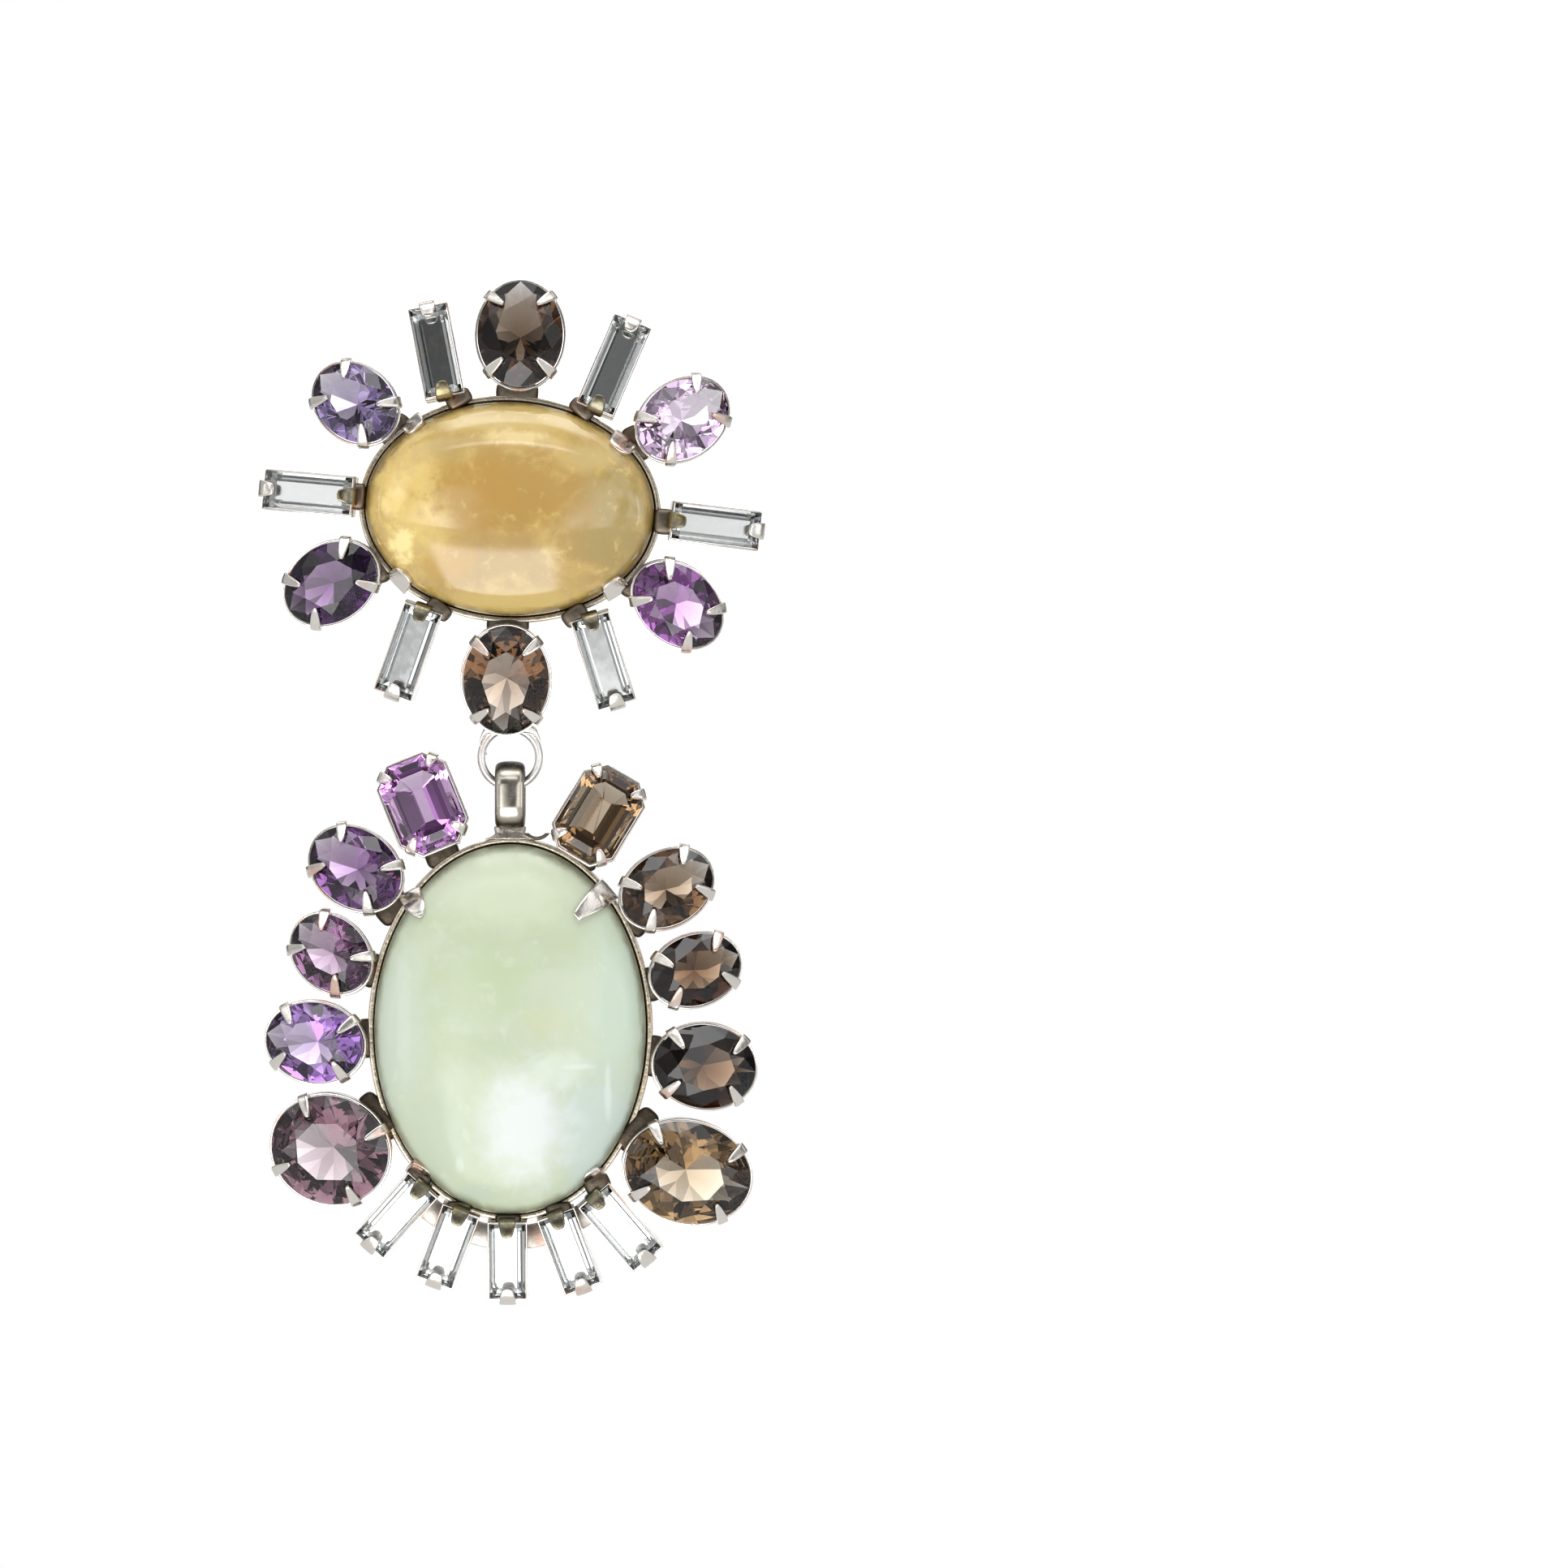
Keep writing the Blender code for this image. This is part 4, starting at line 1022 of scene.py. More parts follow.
@dataclass
class OvalCut:
    """An oval brilliant: table, stars, mains and girdle facets over a faceted pavilion."""

    crown: float = 0.30
    pavilion: float = 0.80
    girdle: float = 0.043
    table: float = 0.56
    star_tip: float = 0.80
    lower_tip: float = 0.28
    mains: int = 8

    def tiers(self) -> list[Tier]:
        """Work out the crown's and the pavilion's rings of facets.

        Returns:
            The rings, from the table down.
        """
        turn = math.pi / self.mains
        cos, half_cos = math.cos(turn), math.cos(turn / 2)
        degrees = math.degrees(turn)
        tip_rise = self.crown * (1.0 - self.star_tip * cos) / (1.0 - self.table)
        lower_drop = self.pavilion * (1.0 - self.lower_tip * cos)
        top, bottom = self.girdle, -self.girdle
        table_height = top + self.crown
        tip_height = top + tip_rise
        lower_height = bottom - lower_drop
        return [
            Tier(self.mains, 0.0, (1.0, top), (self.table, table_height)),
            Tier(self.mains, degrees, (self.star_tip, tip_height), (self.table * cos, table_height)),
            Tier(2 * self.mains, degrees / 2, (half_cos, top), (self.star_tip * half_cos, tip_height)),
            Tier(self.mains, 0.0, (0.0, bottom - self.pavilion), (1.0, bottom)),
            Tier(
                2 * self.mains, degrees / 2, (self.lower_tip * half_cos, lower_height), (half_cos, bottom)
            ),
        ]

    def pattern(self, name: str) -> bpy.types.Object:
        """Cut a round stone of radius 1, which each oval is a stretched copy of.

        Args:
            name: The pattern's name.

        Returns:
            The pattern.
        """
        low, high = -self.girdle - self.pavilion, self.girdle + self.crown
        piece = Bench.disc(name, 1.0, 1.0, low, high, 96)
        with Bench.edit(piece):
            for tier in self.tiers():
                self.cut_tier(tier)
        return piece

    @staticmethod
    def cut_tier(tier: Tier) -> None:
        """Cut one ring of facets off the open stone.

        Args:
            tier: The ring.
        """
        run = tier.low[0] - tier.high[0]
        rise = tier.high[1] - tier.low[1]
        for index in range(tier.count):
            angle = math.radians(tier.start) + math.tau * index / tier.count
            bpy.ops.mesh.select_all(action="SELECT")
            bpy.ops.mesh.bisect(
                plane_co=(tier.high[0] * math.cos(angle), tier.high[0] * math.sin(angle), tier.high[1]),
                plane_no=(rise * math.cos(angle), rise * math.sin(angle), run),
                use_fill=True, clear_outer=True, threshold=1e-5,
            )


@dataclass
class StepCut:
    """A step-cut stone, octagon or baguette, worked down by insets. Shares are of its width."""

    girdle: float = 0.30
    shoulder_inset: float = 0.08
    shoulder_rise: float = 0.68
    table_inset: float = 0.11
    corner: float = 0.24
    keel: tuple[tuple[float, float], ...] = ((0.40, 0.52), (0.46, 0.48))
    flat_back: tuple[tuple[float, float], ...] = ((0.26, 0.62), (0.24, 0.38))

    def build(self, seat: Seat, name: str) -> bpy.types.Object:
        """Cut the stone for a seat.

        Args:
            seat: The stone's seat.
            name: The stone's name.

        Returns:
            The stone, in its seat's axes.
        """
        half = self.girdle / 2
        piece = Bench.blank(
            seat.cut, name, seat.length / 2, seat.width / 2, -half, half, self.corner * seat.width
        )
        rise = seat.crown - half
        drop = seat.pavilion - half
        with Bench.edit(piece):
            Bench.pick(lambda face: face.normal.z > ALONG_AXIS)
            self.step(self.shoulder_inset * seat.width, self.shoulder_rise * rise)
            self.step(self.table_inset * seat.width, (1.0 - self.shoulder_rise) * rise)
            Bench.pick(lambda face: face.normal.z < -ALONG_AXIS)
            for inset, depth in self.flat_back if seat.cut is Cut.BAGUETTE else self.keel:
                self.step(inset * seat.width / 2, depth * drop)
        return piece

    @staticmethod
    def step(inset: float, depth: float) -> None:
        """Work the selected flat one step in and out."""
        bpy.ops.mesh.inset(thickness=inset, depth=depth, use_even_offset=True)


@dataclass
class Cabochon:
    """A domed stone, polished from its flat base to its crown."""

    sides: int = 96
    rings: int = 48
    base_bevel: float = 0.5

    def build(self, dome: Dome, name: str) -> bpy.types.Object:
        """Model the stone.

        Args:
            dome: Its place and size.
            name: Its name.

        Returns:
            The stone, in its bezel's axes.
        """
        piece = Bench.start(
            name, bpy.ops.mesh.primitive_uv_sphere_add,
            segments=self.sides, ring_count=self.rings, radius=1.0,
        )
        with Bench.edit(piece):
            bpy.ops.mesh.select_all(action="SELECT")
            bpy.ops.mesh.bisect(
                plane_co=(0.0, 0.0, 0.001), plane_no=(0.0, 0.0, 1.0), use_fill=True, clear_inner=True
            )
            bpy.ops.mesh.select_all(action="SELECT")
            bpy.ops.transform.resize(
                value=(dome.half_x, dome.half_y, dome.top - dome.shoulder), center_override=(0.0, 0.0, 0.0)
            )
            bpy.ops.transform.translate(value=(0.0, 0.0, dome.shoulder))
            Bench.pick(lambda face: face.normal.z < -ALONG_AXIS)
            wall = dome.shoulder - dome.base - self.base_bevel
            bpy.ops.mesh.extrude_region_move(TRANSFORM_OT_translate={"value": (0.0, 0.0, -wall)})
            bpy.ops.mesh.inset(thickness=self.base_bevel, depth=self.base_bevel, use_even_offset=True)
        Bench.finish(piece, 0.0)
        return piece


# Settings


@dataclass
class Prong:
    """A claw: a tapered strip that rises past an edge, folds over it and lies on the stone.

    It is modelled in its own axes: x outwards, y across and z up, with the stone's edge at x = 0.
    """

    steps: tuple[tuple[float, float, float], ...]
    thickness: float
    edge_share: float = 0.16

    def pattern(self, name: str) -> bpy.types.Object:
        """Model the claw once.

        Args:
            name: The pattern's name.

        Returns:
            The claw, in its own axes.
        """
        piece = Bench.start(name, bpy.ops.mesh.primitive_plane_add, size=1.0, location=(0.0, 0.0, 0.0))
        half = 0.5
        # The two ends stand this far off while they are shaped, so that each can be picked by its place
        apart = 10.0
        with Bench.edit(piece):
            for sign, step in ((-1, self.steps[0]), (1, self.steps[1])):
                Bench.pick_edges(lambda edge: all(v.co.x * sign > 0.9 * half for v in edge.verts))
                bpy.ops.transform.translate(value=(apart * sign + step[0], 0.0, step[1]))
                bpy.ops.transform.resize(value=(1.0, step[2], 1.0), center_override=(0.0, 0.0, 0.0))
            Bench.pick_edges(lambda edge: all(v.co.x > apart / 2 for v in edge.verts))
            for before, after in zip(self.steps[1:], self.steps[2:]):
                move = (after[0] - before[0], 0.0, after[1] - before[1])
                bpy.ops.mesh.extrude_edges_move(TRANSFORM_OT_translate={"value": move})
                bpy.ops.transform.resize(
                    value=(1.0, after[2] / before[2], 1.0), center_override=(0.0, 0.0, 0.0)
                )
            for sign in (-1, 1):
                Bench.pick_edges(lambda edge: all(v.co.x * sign > apart / 2 for v in edge.verts))
                bpy.ops.transform.translate(value=(-sign * (apart + half), 0.0, 0.0))
        Bench.apply(piece, "SOLIDIFY", thickness=self.thickness, offset=0.0)
        with Bench.edit(piece):
            bpy.ops.mesh.select_all(action="SELECT")
            bpy.ops.mesh.normals_make_consistent(inside=False)
        Bench.apply(
            piece, "BEVEL", width=self.edge_share * self.thickness, segments=1, limit_method="ANGLE",
            angle_limit=math.radians(60.0),
        )
        Bench.soften(piece, 2)
        return piece

def standing(point: Vector, normal: Vector) -> Matrix:
    """Place a claw's axes at an edge.

    Args:
        point: The edge's point.
        normal: The edge's outward normal there.

    Returns:
        The placement, with x along the normal and z up.
    """
    return axes(normal, UP.cross(normal), UP, point)


OVAL_PRONG = Prong(
    (
        (-0.90, -2.70, 1.00), (-0.45, -1.70, 0.95), (0.30, -0.75, 1.00), (0.40, -0.10, 1.05),
        (0.26, 0.36, 1.05), (-0.12, 0.66, 1.00), (-0.75, 1.06, 0.85), (-1.30, 1.42, 0.60),
        (-1.62, 1.58, 0.34),
    ),
    0.46,
)
OCTAGON_PRONG = Prong(
    (
        (-0.90, -2.70, 1.00), (-0.45, -1.70, 0.95), (0.30, -0.75, 1.00), (0.40, 0.10, 1.05),
        (0.36, 0.72, 1.05), (0.02, 1.10, 1.00), (-0.50, 1.26, 0.80), (-0.95, 1.42, 0.45),
    ),
    0.46,
)
TONGUE = Prong(
    (
        (0.05, -1.60, 1.50), (0.36, -1.00, 1.55), (0.42, -0.20, 1.60), (0.36, 0.36, 1.60),
        (0.06, 0.72, 1.55), (-0.42, 0.94, 1.40), (-0.90, 1.04, 1.10), (-1.12, 1.04, 0.70),
    ),
    0.44,
)


@dataclass
class Basket:
    """An open basket round an oval or an octagon: a rim, a gallery wire and four claws."""

    seat_gap: float = 0.05
    wall: float = 0.24
    rim_height: float = 0.90
    girdle: float = 0.15
    gallery_depth: float = 2.70
    gallery_inset: float = 0.90
    gallery_wire: float = 0.30

    def claw_seats(self, seat: Seat, corner: float) -> list[Matrix]:
        """Place the four claws.

        Args:
            seat: The stone's seat.
            corner: An octagon's corner cut.

        Returns:
            The placement of each claw.
        """
        half_x, half_y = seat.length / 2, seat.width / 2
        places = []
        for sign_x, sign_y in ((1, 1), (-1, 1), (-1, -1), (1, -1)):
            if seat.cut is Cut.OVAL:
                share = math.sqrt(0.5)
                point = Vector((sign_x * half_x * share, sign_y * half_y * share, 0.0))
                normal = Vector((sign_x / half_x, sign_y / half_y, 0.0)).normalized()
            else:
                point = Vector((sign_x * (half_x - corner / 2), sign_y * (half_y - corner / 2), 0.0))
                normal = Vector((sign_x, sign_y, 0.0)).normalized()
            places.append(standing(point, normal))
        return places

    def build(self, seat: Seat, pattern: bpy.types.Object, name: str) -> bpy.types.Object:
        """Model the basket for a stone.

        Args:
            seat: The stone's seat.
            pattern: The claw to copy.
            name: The setting's name.

        Returns:
            The setting, in the stone's axes.
        """
        corner = StepCut.corner * seat.width
        out = self.seat_gap + self.wall
        half_x, half_y = seat.length / 2, seat.width / 2
        rim = Bench.blank(
            seat.cut, name, half_x + out, half_y + out, -self.girdle - self.rim_height, -self.girdle,
            corner + out * (2.0 - math.sqrt(2.0)),
        )
        Bench.hollow(rim, self.wall)
        Bench.finish(rim, 0.08)
        wire = self.gallery_wire
        reach_x = half_x - self.gallery_inset + wire
        reach_y = half_y - self.gallery_inset + wire
        gallery = Bench.blank(
            seat.cut, name + "_gallery", reach_x, reach_y,
            -self.gallery_depth - wire, -self.gallery_depth + wire, corner,
        )
        Bench.hollow(gallery, 2 * wire)
        Bench.finish(gallery, 0.2 * wire, 2)
        claws = [
            Bench.copy(pattern, f"{name}_claw", place) for place in self.claw_seats(seat, corner)
        ]
        return Bench.join(name, [rim, gallery, *claws])


@dataclass
class Trough:
    """A box round a baguette, open behind, with a tongue over each end."""

    seat_gap: float = 0.03
    wall: float = 0.16
    depth: float = 2.20
    girdle: float = 0.15
    bead: float = 0.36
    bead_stand: float = 0.12
    bead_low: float = -0.75
    bead_high: float = 0.15
    finishes: tuple[bpy.types.Material, ...] = ()

    def build(self, seat: Seat, pattern: bpy.types.Object, name: str) -> bpy.types.Object:
        """Model the box for a baguette.

        Args:
            seat: The stone's seat.
            pattern: The tongue to copy.
            name: The setting's name.

        Returns:
            The setting, in the stone's axes.
        """
        out = self.seat_gap + self.wall
        half_x, half_y = seat.length / 2, seat.width / 2
        box = Bench.blank(Cut.BAGUETTE, name, half_x + out, half_y + out, -self.depth, -self.girdle)
        box.data.materials.append(self.finishes[0])
        Bench.hollow(box, self.wall)
        Bench.finish(box, 0.07)
        tongues = [
            Bench.copy(pattern, f"{name}_tongue", standing(Vector((sign * half_x, 0.0, 0.0)), RIGHT * sign))
            for sign in (1, -1)
        ]
        bead = self.end_bead(name + "_bead", half_x + out + self.bead_stand)
        for part in (*tongues, bead):
            part.data.materials.append(self.finishes[0])
        tongues[1].data.materials.append(self.finishes[1])
        for facet in tongues[1].data.polygons:
            facet.material_index = 1
        return Bench.join(name, [box, *tongues, bead])

    def end_bead(self, name: str, reach: float) -> bpy.types.Object:
        """Model the little bead on the box's outer end.

        Args:
            name: Its name.
            reach: How far from the stone's middle it sits.

        Returns:
            The bead.
        """
        bead = Bench.disc(name, self.bead, 1.2 * self.bead, self.bead_low, self.bead_high, 8)
        with Bench.edit(bead):
            Bench.pick(lambda face: face.normal.z > ALONG_AXIS)
            bpy.ops.mesh.inset(thickness=0.4 * self.bead, depth=0.08)
        Bench.soften(bead, 2)
        bead.data.transform(Matrix.Translation((reach, 0.0, 0.0)))
        return bead


@dataclass
class Bezel:
    """The wall round a cabochon, with a closed back or an open ledge, and its broad claws."""

    gap: float = 0.10
    wall: float = 0.50
    height: float = 3.40
    plate: float = 0.80
    ledge: float = 1.20
    sides: int = 128
    closed: bool = True

    def outer(self) -> float:
        """How far the wall stands outside the cabochon."""
        return self.gap + self.wall

    def build(self, dome: Dome, name: str) -> bpy.types.Object:
        """Model the bezel.

        Args:
            dome: The cabochon's place and size.
            name: The bezel's name.

        Returns:
            The bezel, in its own axes.
        """
        out = self.outer()
        piece = Bench.disc(name, dome.half_x + out, dome.half_y + out, 0.0, self.height, self.sides)
        with Bench.edit(piece):
            Bench.pick(lambda face: face.normal.z > ALONG_AXIS)
            bpy.ops.mesh.inset(thickness=self.wall, depth=0.0, use_even_offset=True)
            bpy.ops.mesh.extrude_region_move(
                TRANSFORM_OT_translate={"value": (0.0, 0.0, self.plate - self.height)}
            )
            if not self.closed:
                bpy.ops.mesh.inset(thickness=self.ledge + self.gap, depth=0.0, use_even_offset=True)
                bpy.ops.mesh.delete(type="FACE")
                Bench.pick(lambda face: face.normal.z < -ALONG_AXIS)
                bpy.ops.mesh.inset(thickness=out + self.ledge, depth=0.0, use_even_offset=True)
                bpy.ops.mesh.delete(type="FACE")
                Bench.pick_edges(lambda edge: edge.is_boundary)
                bpy.ops.mesh.bridge_edge_loops()
        Bench.finish(piece, 0.12, 3)
        return piece


@dataclass(frozen=True)
class BroadClaw:
    """A broad claw over a cabochon's edge: its foot and tip in the dome's front view, in mm."""

    foot: tuple[float, float]
    tip: tuple[float, float]
    width: float
    tip_width: float
    thickness: float = 0.55
    lift: float = 0.30
    tip_lift: float = 0.20
    short: float = 2.0

    def build(self, dome: Dome, bezel: Bezel) -> bpy.types.Object:
        """Model the claw so that it climbs the bezel and lies along the dome.

        Args:
            dome: The cabochon.
            bezel: Its bezel.

        Returns:
            The claw, in the bezel's axes.
        """
        tip = Vector((*self.tip, 0.0))
        way = (Vector((*self.foot, 0.0)) - tip).normalized()
        edge = dome.crossing(tip, way)
        reach = (edge - tip).length
        wall = bezel.outer() / max(0.5, way.dot(dome.normal_at(edge)))
        steps = [
            (wall + 0.10, 1.3, self.width * 0.9), (wall + 0.16, 2.4, self.width),
            (wall + 0.10, 3.3, self.width), (wall - 0.25, 3.95, self.width),
        ]
        for share in (0.12, 0.32, 0.54, 0.76, 0.92, 1.0) if reach > self.short else (0.25, 0.70, 1.0):
            spot = edge - way * reach * share
            width = self.width + (self.tip_width - self.width) * share ** 1.3
            width *= 0.55 if share == 1.0 and reach <= self.short else 1.0
            lift = self.lift if share < 1.0 else self.tip_lift
            steps.append((-reach * share, dome.height_at(spot) + lift, width))
        piece = Prong(tuple(steps), self.thickness).pattern("broad_claw")
        piece.data.transform(standing(edge, way))
        return piece


@dataclass
class Solder:
    """The dark mass of solder between a setting and the bezel.

    root is how deep it starts in the bezel's wall, end_gap and end_depth place its other end at a
    trough, and basket_bite and basket_depth at a basket.
    """

    share: float = 0.74
    oval_share: float = 0.50
    rise: float = 1.6
    bury: float = 0.7
    root: float = 0.25
    end_gap: float = 0.2
    end_depth: float = 1.2
    basket_bite: float = 0.6
    basket_depth: float = 2.3

    def build(self, name: str, start: Vector, end: Vector, width: float) -> bpy.types.Object:
        """Model one mass.

        Args:
            name: Its name.
            start: Where it leaves the bezel's wall, in the cluster's axes.
            end: Where it meets the setting's foot.
            width: Its width.

        Returns:
            The mass, in the cluster's axes.
        """
        run = end - start
        length = run.length + self.bury
        piece = Bench.block(name, Vector((length, width, self.rise)))
        with Bench.edit(piece):
            bpy.ops.mesh.select_all(action="SELECT")
            bpy.ops.mesh.subdivide(number_cuts=1)
        Bench.soften(piece, 2)
        along = run.normalized()
        across = UP.cross(along).normalized()
        piece.data.transform(axes(along, across, along.cross(across), (start + end) / 2))
        return piece

# Hanging parts


@dataclass
class HangingRing:
    """The ring under the cluster's lowest stone, with the shoulder that holds it."""

    radius: float = 2.70
    wire: float = 0.38
    shoulder_width: float = 4.4

    def build(self, name: str) -> bpy.types.Object:
        """Model the ring.

        Args:
            name: Its name.

        Returns:
            The ring, in millimetres about its centre, with z out of its front.
        """
        piece = Bench.start(
            name, bpy.ops.mesh.primitive_torus_add,
            major_segments=96, minor_segments=20, major_radius=self.radius, minor_radius=self.wire,
        )
        Bench.finish(piece, 0.0, 1, 180.0)
        return piece

    def shoulder(self, name: str) -> bpy.types.Object:
        """Model the solder that spreads from the ring's top to the stone's setting.

        Args:
            name: Its name.

        Returns:
            The shoulder, in the ring's axes.
        """
        size = Vector((self.shoulder_width, 1.0, 1.0))
        piece = Bench.block(name, size, Vector((0.0, self.radius + 0.10, 0.3)))
        with Bench.edit(piece):
            for side in (-1, 1):
                Bench.pick(lambda face: face.normal.x * side > ALONG_AXIS)
                for along, down, share in ((0.42, -0.75, 0.85), (0.22, -0.75, 0.75), (0.06, -0.6, 0.8)):
                    bpy.ops.mesh.extrude_region_move(
                        TRANSFORM_OT_translate={"value": (along * side, down, -0.10)}
                    )
                    bpy.ops.transform.resize(
                        value=(1.0, share, share), center_override=(0.0, self.radius - 0.6, 0.1)
                    )
        Bench.soften(piece, 2)
        return piece


@dataclass
class Bail:
    """The strap that loops through the hanging ring, with the collar under it."""

    width: float = 2.70
    thickness: float = 1.10
    clearance: float = 0.30
    ring_reach: float = 0.83
    length: float = 4.15
    foot: float = 1.30
    neck_width: float = 3.0
    foot_depth: float = 1.8
    shrink: float = 0.94
    flat: float = 0.14
    crown: float = 0.12
    top_round: float = 0.995
    foot_round: float = 0.985
    bends: int = 12
    collar_bite: float = 0.2
    swag_centre: tuple[float, float, float] = (2.52, -3.62, 0.5)
    swag_radius: float = 1.25
    swag_wire: float = 0.17
    swag_ends: float = -0.75

    def inner(self) -> float:
        """The radius of the loop's opening."""
        return self.clearance + self.ring_reach

    def strap(self, name: str) -> bpy.types.Object:
        """Model the strap's loop about the hinge.

        Args:
            name: Its name.

        Returns:
            The strap, with x across, y up and z out of its front.
        """
        outer = self.inner() + self.thickness
        low = -(self.length - self.foot) - self.thickness
        size = Vector((self.width / self.shrink, outer - low, 2 * outer))
        piece = Bench.block(name, size, Vector((0.0, (outer + low) / 2, 0.0)))
        with Bench.edit(piece):
            Bench.pick_edges(lambda edge: Bench.runs_along(edge, 0) and edge.verts[0].co.y > 0.0)
            bpy.ops.mesh.bevel(offset=outer * self.top_round, segments=self.bends, affect="EDGES")
            Bench.pick_edges(lambda edge: Bench.runs_along(edge, 0) and edge.verts[0].co.y < low + 0.01)
            bpy.ops.mesh.bevel(offset=outer * self.foot_round, segments=self.bends, affect="EDGES")
        Bench.hollow(piece, self.thickness, axis=0)
        with Bench.edit(piece):
            for side in (-1.0, 1.0):
                bpy.ops.mesh.select_all(action="SELECT")
                bpy.ops.mesh.bisect(
                    plane_co=(side * self.flat * self.width, 0.0, 0.0), plane_no=(1.0, 0.0, 0.0)
                )
            Bench.pick_edges(lambda edge: max(abs(vert.co.x) for vert in edge.verts) < self.width / 4)
            bpy.ops.transform.shrink_fatten(value=self.crown)
        Bench.soften(piece, 3)
        return piece

    def collar(self, name: str, drop: float) -> bpy.types.Object:
        """Model the collar that flares from the strap down to the bezel.

        Args:
            name: Its name.
            drop: The height of the bezel's wall under the hinge, negative.

        Returns:
            The collar, in the strap's axes.
        """
        top = -(self.length - self.foot) - self.thickness * 0.75
        step = (drop - top) / 3
        size = Vector((self.neck_width, -step, self.foot_depth))
        piece = Bench.block(name, size, Vector((0.0, top + step / 2, 0.0)))
        with Bench.edit(piece):
            Bench.pick(lambda face: face.normal.y < -ALONG_AXIS)
            for spread, deepen in ((0.90, 1.0), (1.30, 1.06), (1.45, 1.04)):
                bpy.ops.mesh.extrude_region_move(
                    TRANSFORM_OT_translate={"value": (0.0, step * 2 / 3, 0.0)}
                )
                bpy.ops.transform.resize(value=(spread, 1.0, deepen), center_override=(0.0, drop, 0.0))
        Bench.finish(piece, 0.10, 1, 80.0)
        Bench.soften(piece, 2)
        return piece

    def swag(self, name: str) -> bpy.types.Object:
        """Model the little swag of wire beside the collar, the lower arc of a ring.

        Args:
            name: Its name.

        Returns:
            The swag, in the strap's axes.
        """
        piece = Bench.start(
            name, bpy.ops.mesh.primitive_torus_add, major_segments=40, minor_segments=12,
            major_radius=self.swag_radius, minor_radius=self.swag_wire,
        )
        with Bench.edit(piece):
            bpy.ops.mesh.select_all(action="SELECT")
            bpy.ops.mesh.bisect(
                plane_co=(0.0, self.swag_ends, 0.0), plane_no=(0.0, 1.0, 0.0),
                use_fill=True, clear_outer=True,
            )
            bpy.ops.mesh.select_all(action="SELECT")
            bpy.ops.transform.translate(value=self.swag_centre)
        Bench.finish(piece, 0.0, 1, 60.0)
        return piece

@dataclass
class EarPost:
    """The plain pad and pin on the back, turned about the pin."""

    pad_radius: float = 3.0
    pad: float = 1.0
    pin_radius: float = 0.45
    pin: float = 10.5
    groove: float = 0.12

    def build(self, name: str) -> bpy.types.Object:
        """Turn the post.

        Args:
            name: Its name.

        Returns:
            The post, with z along the pin, away from the cluster.
        """
        piece = Bench.disc(name, self.pad_radius, self.pad_radius, -self.pad, 0.0, 64)
        with Bench.edit(piece):
            Bench.pick(lambda face: face.normal.z > ALONG_AXIS)
            bpy.ops.mesh.inset(thickness=self.pad_radius - self.pin_radius, depth=0.0)
            for length, change in (
                (0.72, 0.0), (0.03, -self.groove), (0.03, self.groove), (0.17, 0.0),
                (0.05, -0.55 * self.pin_radius),
            ):
                bpy.ops.mesh.extrude_region_move(
                    TRANSFORM_OT_translate={"value": (0.0, 0.0, length * self.pin)}
                )
                before = self.pin_radius if change <= 0.0 else self.pin_radius - self.groove
                ratio = (before + change) / before
                bpy.ops.transform.resize(value=(ratio, ratio, 1.0), center_override=(0.0, 0.0, 0.0))
        Bench.finish(piece, 0.08, 2)
        return piece


# Sub-assemblies


